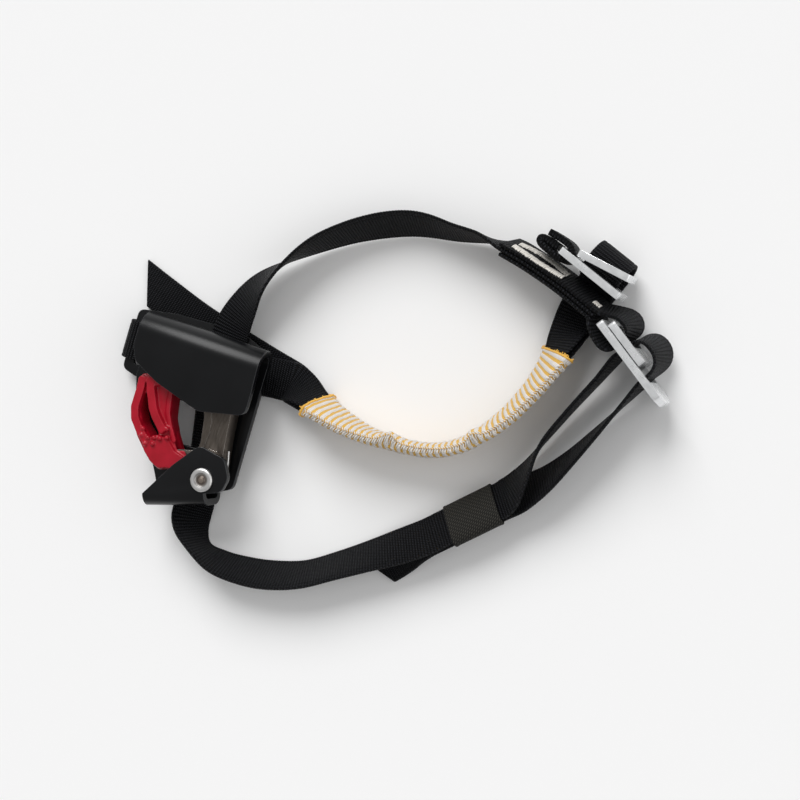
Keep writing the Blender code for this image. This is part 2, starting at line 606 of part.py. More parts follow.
def keeper():
    start, end = Vector((*KEEPER_START, KEEPER_Z)), Vector((*KEEPER_END, KEEPER_Z))
    stations = [(*start.lerp(end, t), KEEPER_LEAN) for t in KEEPER_SPAN]
    return swept("keeper", leaning(stations, 0.0, 8), oval(11.1, 3.1, 1.4), ELASTIC, 1.0, closed=True)


def in_joint(offset):
    count = sum(1 for here, _ in leaning(NECK)[:20] if here.x > JOINT_X)
    return leaning(NECK, offset)[:count]


def holding_loops():
    outer = in_joint(2 * LAYER)
    inner = in_joint(-2 * LAYER)
    loop = folding(in_plan(HOLD_LOOP_PATH, BUCKLE_2_AT, BUCKLE_2_TURN), (0, 0, 1))
    strap("buckle_2_loop", reverse(outer) + loop + inner)
    hold = in_plan(BUCKLE_1_HOLD_PATH, JOINT_AT, JOINT_TURN, 15.6)
    strap("buckle_1_loop", folding(hold, (0, 0, -1)), width=14.5, thick=HOLD_THICK)


def bar_tacks():
    """Dense zigzag stitching through the joint: two long rows and one short one."""
    proud = in_joint(2 * LAYER + WEB_THICK / 2 + 0.65)
    rows = (("bar_tack_upper", 5, 11, 1.6, 8.6), ("bar_tack_lower", 5, 11, -6.4, 0.4),
            ("bar_tack_end", 0, 2, 1.0, 5.0))
    for name, first, last, low, high in rows:
        swept(name, proud[first:last], [(low, 0), (high, 0)], THREAD, 0.7)


# ---- buckles, drawn flat and stood on edge ----
def standing(name, loops, at, turn, s, n, z, swing=0.0):
    """A plate drawn in (along, up), stood on edge at (s, n) of a buckle's plan and swung there."""
    place_at = in_plan([(s, n)], at, turn, z)[0]
    return slab(name, loops, -BUCKLE_PLATE / 2, BUCKLE_PLATE, ALUMINIUM, tuple(place_at),
                (math.radians(90), 0, math.radians(turn + swing)))


def box_outline(left, right, low, high, radius=1.2):
    corners = [(left, low), (right, low), (right, high), (left, high)]
    return rounded([(*corner, radius) for corner in corners], 0, 2)


def buckles():
    standing("buckle_1_base", [box_outline(-20.0, 15.0, -10.5, 10.5, 2),
                               box_outline(-18.0, -12.6, -8.6, 8.6, 1),
                               box_outline(-10.6, 10.8, -6.6, 5.5, 1)],
             JOINT_AT, JOINT_TURN, 0, 11.2, 16.6)
    standing("buckle_1_lock", [box_outline(-4.0, 23.0, -9.0, 9.0, 2),
                               box_outline(-2.2, 20.6, -2.8, 4.4, 1)],
             JOINT_AT, JOINT_TURN, -9.0, 15.95, 16.6, swing=11.0)
    outline = rounded([(-1.0, -13.5, 2), (42.0, -13.5, 3), (46.0, -8.0, 3), (46.0, 8.0, 3),
                       (42.0, 13.5, 3), (-1.0, 13.5, 2)], 0, 3)
    standing("buckle_2_base", [outline, box_outline(3.6, 18.0, -10.6, 10.6),
                               box_outline(25.0, 34.6, -10.6, 10.6)],
             BUCKLE_2_AT, BUCKLE_2_TURN, 0, 0, BUCKLE_Z)
    standing("buckle_2_lock", [box_outline(2.6, 28.6, -13.0, 13.0, 2),
                               box_outline(5.4, 18.0, -10.6, 10.6)],
             BUCKLE_2_AT, BUCKLE_2_TURN, 0, 3.9, BUCKLE_Z)


# ---- build ----
folded_frame()
strap_plate()
plate_fixings()
cam()
axle_group()
cam_spring()
trigger()
foot_strap()
ankle_strap()
sleeve()
keeper()
holding_loops()
bar_tacks()
buckles()
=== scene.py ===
"""Looks for the foot ascender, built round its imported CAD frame.

Lengths are millimetres in the device's own axes (+X along the rope channel, +Y from the
cam's axle towards the channel, +Z out of the front flap, origin on the cam's axle at floor
level), and world() turns them into metres in the row's frame.
"""
import math
import random

import bmesh
import bpy
import numpy as np
from mathutils import Matrix, Vector

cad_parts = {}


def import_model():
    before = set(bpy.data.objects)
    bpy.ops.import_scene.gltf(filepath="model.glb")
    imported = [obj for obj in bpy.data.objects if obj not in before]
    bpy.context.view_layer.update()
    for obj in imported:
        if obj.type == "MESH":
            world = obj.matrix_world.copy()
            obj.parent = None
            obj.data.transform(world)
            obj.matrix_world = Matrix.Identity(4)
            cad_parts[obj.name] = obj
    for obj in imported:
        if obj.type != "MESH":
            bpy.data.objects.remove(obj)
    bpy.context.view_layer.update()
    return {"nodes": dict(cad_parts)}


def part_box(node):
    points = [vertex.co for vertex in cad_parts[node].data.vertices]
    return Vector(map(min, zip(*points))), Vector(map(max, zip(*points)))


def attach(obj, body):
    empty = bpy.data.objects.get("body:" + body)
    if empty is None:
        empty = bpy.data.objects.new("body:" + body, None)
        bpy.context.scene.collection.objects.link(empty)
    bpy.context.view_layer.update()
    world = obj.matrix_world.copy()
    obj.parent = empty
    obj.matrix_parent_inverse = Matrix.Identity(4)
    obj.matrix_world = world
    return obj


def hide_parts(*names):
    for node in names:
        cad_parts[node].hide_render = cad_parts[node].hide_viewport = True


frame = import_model()
MM = 0.001

# ---- dimensions that the looks share with the frame, millimetres ----
axle_low, axle_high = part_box("cam_axle")
AXLE = np.array(((axle_low.x + axle_high.x) / 2, (axle_low.y + axle_high.y) / 2, 0.0))
SHEET = 3.2
BACK_Z = 8.8
INSIDE = 14.0
CHANNEL_Y = 59.3
WEB_WIDTH = 20.0
WEB_THICK = 1.7
LAYER = 1.1
FOOT_LAYER = 1.25             # where the two foot strap layers twist together
PLATE_Z = 4.4
PLATE_THICK = 2.0
CAM_THICK = 10.0
PIN_AT = (-19.0, 3.0)
BUCKLE_PLATE = 3.4
SLEEVE_HALF = (11.7, 3.5)     # half width and half height of the sleeve
KEEPER_HALF = (11.2, 3.2)
WALL_SHARE = 0.93             # size of a hollow band's inside, as a share of its outside
FLAP_Z = BACK_Z + SHEET + INSIDE
MID_Z = BACK_Z + SHEET + INSIDE / 2
RIB = 1.45                    # pitch of the webbing's ribs
SLEEVE_RIB = 1.04             # pitch of the sleeve's ribs; every third one is yellow

LOOKS = bpy.data.collections.new("foot_ascender_looks")
bpy.context.scene.collection.children.link(LOOKS)
HELPERS = bpy.data.collections.new("helpers")
bpy.context.scene.collection.children.link(HELPERS)


def world(points):
    return np.asarray(points, float) * MM + AXLE


# ---- materials ----
class Shader:
    """A Principled material and short ways to wire its nodes."""

    def __init__(self, name, colour, roughness, metallic=0.0, **sockets):
        self.material = bpy.data.materials.new(name)
        self.material.use_nodes = True
        self.tree = self.material.node_tree
        self.shader = self.tree.nodes["Principled BSDF"]
        self.shader.inputs["Base Color"].default_value = (*colour, 1.0)
        self.shader.inputs["Roughness"].default_value = roughness
        self.shader.inputs["Metallic"].default_value = metallic
        for socket, value in sockets.items():
            self.shader.inputs[socket.replace("_", " ")].default_value = value

    def node(self, kind, **values):
        made = self.tree.nodes.new(kind)
        for key, value in values.items():
            setattr(made, key, value)
        return made

    def link(self, source, target):
        self.tree.links.new(source, target)
        return target

    def math(self, operation, first, second=0.0):
        made = self.node("ShaderNodeMath", operation=operation)
        for socket, value in zip(made.inputs, (first, second)):
            if hasattr(value, "is_linked"):
                self.link(value, socket)
            else:
                socket.default_value = value
        return made.outputs[0]

    def times(self, value, factor):
        return self.math("MULTIPLY", value, factor)

    def plus(self, first, second):
        return self.math("ADD", first, second)

    def ripple(self, value, factor):
        """The value times a factor, through a sine without its sign."""
        return self.math("ABSOLUTE", self.math("SINE", self.times(value, factor)))

    def place(self, stretch=(1.0, 1.0, 1.0)):
        coordinates = self.node("ShaderNodeTexCoord").outputs["Object"]
        mapping = self.node("ShaderNodeMapping")
        mapping.inputs["Scale"].default_value = stretch
        self.link(coordinates, mapping.inputs["Vector"])
        return mapping.outputs[0]

    def noise(self, scale, detail=3.0, stretch=(1.0, 1.0, 1.0)):
        made = self.node("ShaderNodeTexNoise")
        made.inputs["Scale"].default_value = scale
        made.inputs["Detail"].default_value = detail
        self.link(self.place(stretch), made.inputs["Vector"])
        return made.outputs[0]

    def weave(self):
        """The piece's own (along, across) millimetres, as two sockets."""
        split = self.node("ShaderNodeSeparateXYZ")
        attribute = self.node("ShaderNodeAttribute", attribute_name="weave")
        self.link(attribute.outputs["Vector"], split.inputs[0])
        return split.outputs[0], split.outputs[1]

    def ramp(self, value, *stops):
        made = self.node("ShaderNodeValToRGB")
        elements = made.color_ramp.elements
        while len(elements) < len(stops):
            elements.new(0.5)
        for element, (position, colour) in zip(elements, stops):
            element.position = position
            element.color = (*colour, 1.0)
        self.link(value, made.inputs[0])
        return made.outputs[0]

    def spread(self, value, low, high):
        made = self.node("ShaderNodeMapRange")
        made.inputs["To Min"].default_value = low
        made.inputs["To Max"].default_value = high
        self.link(value, made.inputs["Value"])
        return made.outputs[0]

    def colour(self, value, *stops):
        self.link(self.ramp(value, *stops), self.shader.inputs["Base Color"])

    def roughness(self, value, low, high):
        self.link(self.spread(value, low, high), self.shader.inputs["Roughness"])

    def bump(self, height, distance_mm, strength=1.0):
        made = self.node("ShaderNodeBump")
        made.inputs["Distance"].default_value = distance_mm * MM
        made.inputs["Strength"].default_value = strength
        self.link(height, made.inputs["Height"])
        self.link(made.outputs[0], self.shader.inputs["Normal"])


def anodised(name, dark, light, low, high, shine):
    made = Shader(name, dark, low, Specular_IOR_Level=shine)
    mottle = made.noise(60.0)
    made.colour(mottle, (0.3, dark), (0.7, light))
    made.roughness(made.noise(900.0), low, high)
    made.bump(made.noise(4200.0, 2.0), 0.02, 0.5)
    return made.material


def brushed(name, dark, light, low, high, stretch, metallic=1.0):
    made = Shader(name, dark, low, metallic)
    lines = made.noise(700.0, 4.0, stretch)
    made.colour(lines, (0.3, dark), (0.7, light))
    made.roughness(made.noise(300.0, 3.0, stretch), low, high)
    made.bump(lines, 0.02, 0.4)
    return made.material


def lathe_turned(name, centre, dark, light):
    """Fine rings about the axle; brown in the middle, darker over the sunk dish and light steel out on
    the raised rim.
    """
    made = Shader(name, dark, 0.2, 1.0)
    away = made.node("ShaderNodeVectorMath", operation="MULTIPLY_ADD")
    coordinates = made.node("ShaderNodeTexCoord").outputs["Object"]
    made.link(coordinates, away.inputs[0])
    away.inputs[1].default_value = (1.0, 1.0, 0.0)
    away.inputs[2].default_value = (-centre[0], -centre[1], 0.0)
    length = made.node("ShaderNodeVectorMath", operation="LENGTH")
    made.link(away.outputs[0], length.inputs[0])
    radius = length.outputs["Value"]
    rings = made.math("SINE", made.times(radius, 2 * math.pi / 0.00032))
    made.colour(made.times(radius, 1 / 0.006), (0.0, (0.34, 0.28, 0.24)),
                (0.22, (0.30, 0.25, 0.21)), (0.26, (0.13, 0.105, 0.09)), (0.46, (0.26, 0.23, 0.21)),
                (0.53, dark), (0.7, light), (1.0, light))
    made.roughness(made.noise(500.0), 0.34, 0.44)
    made.bump(rings, 0.012, 0.8)
    return made.material


def moulded_red():
    made = Shader("red_moulding", (0.36, 0.004, 0.016), 0.32, Specular_IOR_Level=0.35)
    made.colour(made.noise(140.0), (0.25, (0.31, 0.003, 0.012)), (0.75, (0.43, 0.006, 0.022)))
    made.roughness(made.noise(600.0), 0.26, 0.4)
    made.bump(made.noise(1500.0, 2.0), 0.03, 0.4)
    return made.material


def plain_mould(name, dark, light):
    made = Shader(name, dark, 0.5)
    made.colour(made.noise(500.0), (0.3, dark), (0.7, light))
    made.bump(made.noise(2500.0), 0.02, 0.4)
    return made.material


def plain_weave(made, along, across, rib, yarn):
    """Height of a rib built of yarns that cross it, half a yarn out of step in every other rib."""
    number = made.math("DIVIDE", along, rib)
    odd = made.math("MODULO", made.math("FLOOR", number), 2.0)
    hill = made.ripple(number, math.pi)
    turn = made.plus(made.math("DIVIDE", across, yarn), made.times(odd, 0.5))
    slant = made.plus(turn, made.times(made.math("FRACT", number), 0.35))
    nub = made.ripple(slant, math.pi)
    return made.times(made.math("POWER", hill, 0.6), made.math("POWER", nub, 0.7))


def fuzzy(made, height, scale, share):
    """The height with a share of fine noise on it."""
    return made.plus(height, made.times(made.noise(scale, 2.0), share))


def webbing():
    """Fat ribs of shiny black yarn, with painted shade in the furrows between them and a painted
    highlight on the rib tops.
    """
    made = Shader("black_webbing", (0.003, 0.003, 0.004), 0.5, Specular_IOR_Level=0.17)
    height = fuzzy(made, plain_weave(made, *made.weave(), RIB, 0.95), 6000.0, 0.3)
    # The colour follows the rib height: painted shade darkens the furrows and a painted highlight
    # lightens the rib tops; the fine noise is random tone.
    made.colour(height, (0.25, (0.0005, 0.0005, 0.0007)), (0.8, (0.0036, 0.0038, 0.0048)),
                (1.0, (0.017, 0.018, 0.022)))
    made.roughness(made.noise(700.0), 0.42, 0.6)
    made.bump(height, 0.75, 1.0)
    return made.material


def keeper_elastic():
    """Finer ribs that run aslant, in a dull brownish black, with painted shade in the furrows and a
    painted highlight on the rib tops.
    """
    made = Shader("keeper_elastic", (0.02, 0.02, 0.017), 0.7, Specular_IOR_Level=0.2)
    along, across = made.weave()
    slant = made.plus(along, made.times(across, 0.55))
    height = fuzzy(made, plain_weave(made, slant, across, 1.25, 1.5), 5000.0, 0.2)
    # The colour follows the rib height: painted shade in the furrows, painted highlight on the rib tops.
    made.colour(height, (0.15, (0.0025, 0.0025, 0.0022)), (0.7, (0.015, 0.0145, 0.012)),
                (1.0, (0.042, 0.040, 0.034)))
    made.bump(height, 0.35, 0.9)
    return made.material


def sleeve_weave():
    """White ribs, every third one yellow, made of fine yarns that run round the sleeve."""
    made = Shader("sleeve_weave", (0.8, 0.78, 0.74), 0.7, Sheen_Weight=0.15, Sheen_Roughness=0.5)
    along, across = made.weave()
    waver = made.times(made.math("SUBTRACT", made.noise(260.0, 2.0), 0.5), 0.5)
    place = made.math("DIVIDE", made.plus(along, waver), 3 * SLEEVE_RIB)
    part = made.math("FRACT", place)
    stripe = made.math("LESS_THAN", made.math("ABSOLUTE", made.math("SUBTRACT", part, 0.5)), 0.21)
    yarn = made.ripple(along, math.pi / 0.35)
    cross = made.ripple(across, math.pi / 0.9)
    height = made.plus(made.times(yarn, 0.5), made.times(cross, 0.5))
    # Each yarn's colour follows its height: painted shade between the yarns and lighter on their tops,
    # in both the white and the yellow.
    white, gold = (made.ramp(height, *zip((0.0, 0.5, 1.0), tones)) for tones in (
        ((0.36, 0.32, 0.28), (0.66, 0.62, 0.58), (0.84, 0.82, 0.80)),
        ((0.36, 0.15, 0.01), (0.66, 0.36, 0.04), (0.84, 0.56, 0.14))))
    mix = made.node("ShaderNodeMix", data_type="RGBA")
    made.link(stripe, mix.inputs[0])
    made.link(white, mix.inputs[6])
    made.link(gold, mix.inputs[7])
    made.link(mix.outputs[2], made.shader.inputs["Base Color"])
    made.bump(height, 0.16, 0.8)
    return made.material


def thread(name, dark, light):
    made = Shader(name, dark, 0.6, Sheen_Weight=0.2, Sheen_Roughness=0.4)
    made.colour(made.noise(1800.0), (0.3, dark), (0.7, light))
    made.bump(made.noise(7000.0), 0.05, 0.6)
    return made.material


ANODISED = anodised("black_anodised", (0.0028, 0.0030, 0.0036), (0.0045, 0.0048, 0.0056),
                    0.27, 0.34, 0.27)
# The black sheet's bevelled edges take a lighter colour: a painted highlight along the edges.
EDGE = anodised("painted_edge_highlight", (0.020, 0.021, 0.024), (0.045, 0.048, 0.054), 0.22, 0.30, 0.5)
CAM_STEEL = brushed("cam_steel", (0.105, 0.088, 0.075), (0.15, 0.13, 0.112), 0.38, 0.5,
                    (2.0, 0.3, 1.0))
POLISHED = brushed("polished_chamfer", (0.55, 0.50, 0.46), (0.75, 0.72, 0.68), 0.16, 0.26,
                   (0.3, 3.0, 1.0))
TURNED = lathe_turned("turned_steel", AXLE, (0.50, 0.49, 0.48), (0.74, 0.73, 0.72))
WIRE = brushed("spring_wire", (0.45, 0.44, 0.43), (0.66, 0.65, 0.64), 0.2, 0.3, (1.0, 1.0, 3.0))
SILVER = brushed("silver_aluminium", (0.74, 0.75, 0.76), (0.90, 0.91, 0.92), 0.18, 0.34,
                 (0.4, 0.4, 3.0), metallic=0.6)
SHINY = brushed("polished_aluminium", (0.86, 0.87, 0.88), (0.93, 0.94, 0.95), 0.10, 0.18,
                (0.5, 0.5, 2.0), metallic=0.85)
ALUMINIUM = (SILVER, SHINY)       # a look, and a second one for its bevelled edges
BLACK_SHEET = (ANODISED, EDGE)
RED = moulded_red()
BRONZE = brushed("bronze", (0.36, 0.22, 0.08), (0.52, 0.35, 0.14), 0.3, 0.4, (1.0, 1.0, 4.0))
NYLON = plain_mould("grey_nylon", (0.25, 0.25, 0.25), (0.34, 0.34, 0.34))
WEBBING = webbing()
ELASTIC = keeper_elastic()
SLEEVING = sleeve_weave()
THREAD = thread("white_thread", (0.62, 0.58, 0.52), (0.85, 0.83, 0.79))
GOLD_THREAD = thread("gold_thread", (0.70, 0.34, 0.03), (0.90, 0.55, 0.10))


# ---- pieces ----
def piece(name, mesh, look, replaced=(), sharp=None, body="frame_body"):
    """A finished mesh in the row's frame, on its body, with its looks."""
    obj = bpy.data.objects.new(name, mesh)
    LOOKS.objects.link(obj)
    if not mesh.materials:
        for item in look if isinstance(look, tuple) else (look,):
            mesh.materials.append(item)
    mesh.shade_smooth()
    if sharp is not None:
        mesh.set_sharp_from_angle(angle=math.radians(sharp))
    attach(obj, body)
    if replaced:
        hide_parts(*replaced)
    return obj


def baked(obj):
    """The object's mesh with its modifiers applied; the object is removed."""
    graph = bpy.context.evaluated_depsgraph_get()
    mesh = bpy.data.meshes.new_from_object(obj.evaluated_get(graph))
    bpy.data.objects.remove(obj, do_unlink=True)
    return mesh


def helper(name, mesh):
    obj = bpy.data.objects.new(name, mesh)
    HELPERS.objects.link(obj)
    return obj


def modify(obj, kind, **values):
    modifier = obj.modifiers.new(kind.lower(), kind)
    for key, value in values.items():
        setattr(modifier, key, value)


def opened(*meshes):
    """The meshes together, as one bmesh."""
    shape = bmesh.new()
    for mesh in meshes:
        shape.from_mesh(mesh)
    return shape


def stored(shape, mesh, outwards=True):
    """The bmesh written into a mesh, its faces turned outwards."""
    if outwards:
        bmesh.ops.recalc_face_normals(shape, faces=shape.faces)
    shape.to_mesh(mesh)
    shape.free()
    return mesh


def outward(mesh):
    return stored(opened(mesh), mesh)


def grid(name, rows, weave=None, loop=False):
    """A skin through closed rows; if loop, the last row joins the first, or else both get caps."""
    rows = np.asarray(rows)
    count, size = rows.shape[:2]
    index = np.arange(count * size).reshape(count, size)
    below = index if loop else index[:-1]
    above = np.roll(index, -1, axis=0) if loop else index[1:]
    faces = np.stack([below, np.roll(below, -1, axis=1), np.roll(above, -1, axis=1), above], axis=-1)
    faces = faces.reshape(-1, 4).tolist()
    if not loop:
        faces += [index[0][::-1].tolist(), index[-1].tolist()]
    mesh = bpy.data.meshes.new(name)
    mesh.from_pydata(world(rows.reshape(-1, 3)).tolist(), [], faces)
    if weave is not None:
        values = mesh.attributes.new("weave", "FLOAT_VECTOR", "POINT")
        values.data.foreach_set("vector", np.asarray(weave, np.float32).reshape(-1))
    mesh.update()
    return mesh


# ---- outlines and slabs ----
def rounded(points, steps=10):
    """The polygon's corners as arcs; a point's third value is its own radius."""
    outline = []
    count = len(points)
    for index, point in enumerate(points):
        here = Vector(point[:2])
        size = point[2] if len(point) > 2 else 0
        if size <= 0:
            outline.append(tuple(here))
            continue
        before = Vector(points[index - 1][:2]) - here
        after = Vector(points[(index + 1) % count][:2]) - here
        half = before.angle(after) / 2
        reach = min(size / math.tan(half), before.length * 0.48, after.length * 0.48)
        start = here + before.normalized() * reach
        end = here + after.normalized() * reach
        for step in range(steps + 1):
            t = step / steps
            outline.append(tuple(start.lerp(here, t).lerp(here.lerp(end, t), t)))
    return outline


def arc(centre, radius, angles):
    return [(centre[0] + radius * math.cos(a), centre[1] + radius * math.sin(a)) for a in angles]


def circle(centre, radius, count=64):
    return arc(centre, radius, [2 * math.pi * index / count for index in range(count)])


def slab_mesh(name, loops, low, high):
    """Flat outlines with holes, from height low to high, in millimetres."""
    curve = bpy.data.curves.new(name, "CURVE")
    curve.dimensions = "2D"
    curve.fill_mode = "BOTH"
    curve.extrude = (high - low) / 2
    for loop in loops:
        spline = curve.splines.new("POLY")
        spline.points.add(len(loop) - 1)
        for point, (x, y) in zip(spline.points, loop):
            point.co = (x, y, 0.0, 1.0)
        spline.use_cyclic_u = True
    mesh = baked(helper(name, curve))
    mesh.transform(Matrix.Translation((0, 0, (low + high) / 2)))
    shape = opened(mesh)
    bmesh.ops.remove_doubles(shape, verts=shape.verts, dist=0.002)
    bmesh.ops.dissolve_limit(shape, angle_limit=0.001, verts=shape.verts, edges=shape.edges)
    stored(shape, mesh)
    mesh.materials.clear()
    return mesh


def to_row_frame(mesh):
    """From device millimetres to the row's metres."""
    mesh.transform(Matrix.Translation(AXLE) @ Matrix.Scale(MM, 4))
    return mesh


def carve(mesh, *cutters, operation="DIFFERENCE"):
    obj = helper("carved", mesh)
    tools = [helper("tool", cutter) for cutter in cutters]
    for tool in tools:
        modify(obj, "BOOLEAN", operation=operation, solver="EXACT", object=tool)
    result = baked(obj)
    for tool in tools:
        bpy.data.objects.remove(tool, do_unlink=True)
    return result


def softened(mesh, width, segments, angle, looks):
    """Edges rounded by a bevel, whose faces take the second of two looks."""
    obj = helper("softened", mesh)
    mesh.materials.clear()
    for look in looks:
        mesh.materials.append(look)
    modify(obj, "BEVEL", width=width, segments=segments, limit_method="ANGLE",
           angle_limit=math.radians(angle), use_clamp_overlap=True, material=1)
    return baked(obj)


def melted(mesh, voxel, rounds):
    """Overlapping shapes grown together and smoothed, as in a moulding."""
    obj = helper("melted", mesh)
    modify(obj, "REMESH", mode="VOXEL", voxel_size=voxel)
    modify(obj, "SMOOTH", factor=0.6, iterations=rounds)
    return baked(obj)


def turned_mesh(profile, centre, steps):
    """A closed profile of (radius, height) turned about a vertical line."""
    rows = []
    for index in range(steps):
        angle = 2 * math.pi * index / steps
        rows.append([(centre[0] + r * math.cos(angle), centre[1] + r * math.sin(angle), z)
                     for r, z in profile])
    mesh = grid("turned", rows, loop=True)
    shape = opened(mesh)
    bmesh.ops.remove_doubles(shape, verts=shape.verts, dist=0.000002)
    return stored(shape, mesh)


def unit(vectors):
    """Each at length one."""
    return vectors / np.linalg.norm(vectors, axis=-1, keepdims=True)


def run_along(places):
    """The distance from the first place to each, along all between."""
    return np.concatenate([[0.0], np.cumsum(np.linalg.norm(np.diff(places, axis=0), axis=1))])


def tube(points, radius, sides):
    """A round thread through the points, in device millimetres."""
    track = np.asarray(points, float)
    ahead = unit(np.gradient(track, axis=0))
    up = np.array((0.0, 0.0, 1.0)) if abs(ahead[0][2]) < 0.9 else np.array((1.0, 0.0, 0.0))
    rows = []
    for here, along in zip(track, ahead):
        side = unit(np.cross(along, up))
        up = np.cross(side, along)
        rows.append([here + radius * (math.cos(a) * side + math.sin(a) * up)
                     for a in np.linspace(0, 2 * math.pi, sides, endpoint=False)])
    return np.array(rows)


def tubes(name, many):
    """Several threads as one mesh."""
    shape = bmesh.new()
    for rows in many:
        mesh = grid(name, rows)
        shape.from_mesh(mesh)
        bpy.data.meshes.remove(mesh)
    return stored(shape, bpy.data.meshes.new(name))


# ---- frame ----
LOWER_FOLD = [(-28.8, -16.8), (2.7, -6.2)]
BACK_OUTLINE = [(-57, CHANNEL_Y), (-58.6, 36, 6), (-56, 27, 6), (-34, -7.5, 8), *LOWER_FOLD,
                (9.6, -2.6, 5), (9, CHANNEL_Y)]
FLAP_OUTLINE = [(11, CHANNEL_Y), (11.6, 48, 5), (11.6, 36.8, 5), (-12.8, 31.2, 8), (-38, 37.8, 12),
                (-53, 44.6, 7), (-56, 52, 7), (-56, CHANNEL_Y)]
LOWER_OUTLINE = [LOWER_FOLD[1], (11.4, -2.6, 5), (12.9, 5.0, 6), (8.0, 13.4, 5), (-6.6, 15.6, 6),
                 (-17.4, 1.8, 16), LOWER_FOLD[0]]
WINDOW = [(-36, 31, 5), (-10, 31, 5), (-10, 11, 5), (-28, 9.5, 5), (-34.5, 20, 6)]
RIVETS = {"plate_rivet_left": (-46.0, 46.0), "plate_rivet_right": (1.5, 46.0)}
FOLD_RADIUS = 4.5
BEND_STEPS, FOLD_STEPS = 36, 10


def folded_frame():
    """The sheet's middle surface, flat faces and bends, made thick and rounded."""
    shape = bmesh.new()
    low = BACK_Z + SHEET / 2
    high = FLAP_Z + SHEET / 2

    def vert(x, y, z):
        return shape.verts.new((x, y, z))

    def flat(outline, z):
        return shape.faces.new([vert(x, y, z) for x, y in outline])

    flat(rounded(BACK_OUTLINE, 8), low)
    flat(rounded(FLAP_OUTLINE, 8), high)
    flat(rounded(LOWER_OUTLINE, 8), high)
    radius = (high - low) / 2
    turns = [math.pi * i / BEND_STEPS for i in range(BEND_STEPS + 1)]
    bend = [(CHANNEL_Y + radius * math.sin(a), (low + high) / 2 - radius * math.cos(a), i / BEND_STEPS)
            for i, a in enumerate(turns)]
    rows = [(vert(-57.0 + t, y, z), vert(9.0 + 2 * t, y, z)) for y, z, t in bend]
    start, end = Vector(LOWER_FOLD[0]), Vector(LOWER_FOLD[1])
    out = Vector(((end - start).y, -(end - start).x)).normalized()
    quarter = [math.pi / 2 * i / FOLD_STEPS for i in range(FOLD_STEPS + 1)]
    corner = [(FOLD_RADIUS * math.sin(a), FOLD_RADIUS * (1 - math.cos(a))) for a in quarter]
    wall = [(reach, low + rise) for reach, rise in corner]
    wall += [(reach, high - rise) for reach, rise in reversed(corner)]
    fold_rows = []
    for reach, z in wall:
        a, b = start + out * reach, end + out * reach
        fold_rows.append((vert(a.x, a.y, z), vert(b.x, b.y, z)))
    for strip in (rows, fold_rows):
        for (a, b), (c, d) in zip(strip, strip[1:]):
            shape.faces.new((a, b, d, c))
    bmesh.ops.remove_doubles(shape, verts=shape.verts, dist=0.01)
    obj = helper("frame_sheet", stored(shape, bpy.data.meshes.new("frame_sheet")))
    modify(obj, "SOLIDIFY", thickness=SHEET, offset=0.0, use_even_offset=True)
    cutters = [slab_mesh("window", [rounded(WINDOW, 8)], BACK_Z - 2, BACK_Z + SHEET + 2),
               slab_mesh("bore", [circle((0, 0), 3.2)], 0, 40)]
    cutters += [slab_mesh("rivet_bore", [circle(at, 2.2, 32)], 2, 16) for at in RIVETS.values()]
    mesh = carve(baked(obj), *cutters)
    mesh = softened(mesh, 0.75, 3, 35, BLACK_SHEET)
    piece("folded_frame", to_row_frame(mesh), BLACK_SHEET, ("frame",), 30)


# ---- strap plate and its rivets ----
PLATE_OUTLINE = [(-70, 36, 4), (-70, 67.5, 4), (-49, 71, 6), (-27, 72, 10), (-7, 71, 6), (4.5, 67, 4),
                 (6.5, 38, 4), (-18, 35, 6), (-62, 34, 4)]
EAR_SLOT = [(-64.8, 40, 1.4), (-64.8, 63, 1.4), (-58.4, 63, 1.4), (-58.4, 40, 1.4)]


def strap_plate():
    holes = [circle(at, 2.2, 32) for at in RIVETS.values()]
    mesh = slab_mesh("plate", [rounded(PLATE_OUTLINE, 8), rounded(EAR_SLOT, 5), *holes],
                     PLATE_Z, PLATE_Z + PLATE_THICK)
    mesh = softened(mesh, 0.5, 3, 40, BLACK_SHEET)
    piece("rear_strap_plate", to_row_frame(mesh), BLACK_SHEET, ("strap_plate",), 30)
    top = BACK_Z + SHEET
    for name, (x, y) in RIVETS.items():
        profile = [(0, top + 1.2), (1.4, top + 1.18), (2.4, top + 1), (3, top + 0.7),
                   (3.35, top + 0.35), (3.3, top + 0.1), (2, top + 0.1), (2, PLATE_Z + 0.1),
                   (1.5, PLATE_Z - 0.1), (0, PLATE_Z - 0.1)]
        piece(name + "_turned", turned_mesh(profile, (x, y), 48), WIRE, (name,), 40)
        spacer = name.replace("rivet", "spacer")
        low, high = PLATE_Z + PLATE_THICK + 0.1, BACK_Z - 0.1
        profile = [(2.4, high), (4.3, high), (4.5, high - 0.2), (4.5, low + 0.2), (4.3, low),
                   (2.4, low)]
        piece(spacer + "_ring", turned_mesh(profile, (x, y), 48), NYLON, (spacer,), 40)


# ---- cam, axle, bush, washers, spring ----
CAM_BOSS = 6.9
TEETH, TEETH_FROM, TEETH_SPAN = 11, 96, 26        # a count, and two angles in degrees


def cam_outline():
    """Boss round the axle, waisted arm and a toothed head on a spiral."""
    teeth = []
    for index in range(TEETH + 1):
        tip = math.radians(TEETH_FROM + TEETH_SPAN * index / TEETH)
        radius = 62.5 - 4.2 * (index / TEETH) ** 1.3
        teeth.append((radius * math.cos(tip), radius * math.sin(tip), 0.25))
        if index < TEETH:
            root = math.radians(TEETH_FROM + TEETH_SPAN * (index + 0.72) / TEETH)
            teeth.append(((radius - 1.7) * math.cos(root), (radius - 1.7) * math.sin(root), 0.3))
    right = [(6.7, 3, 2), (4.8, 13, 6), (3.2, 26, 8), (2, 42, 12), (-2, 55, 6)]
    left = [(-31, 46, 4), (-17, 40, 10), (-10.8, 30, 10), (-8.4, 15, 8), (-11.5, 8, 4)]
    boss = arc((0, 0), CAM_BOSS, [math.radians(180 + 180 * i / 31) for i in range(32)])
    return rounded([*right, *teeth, *left, *boss], 6)


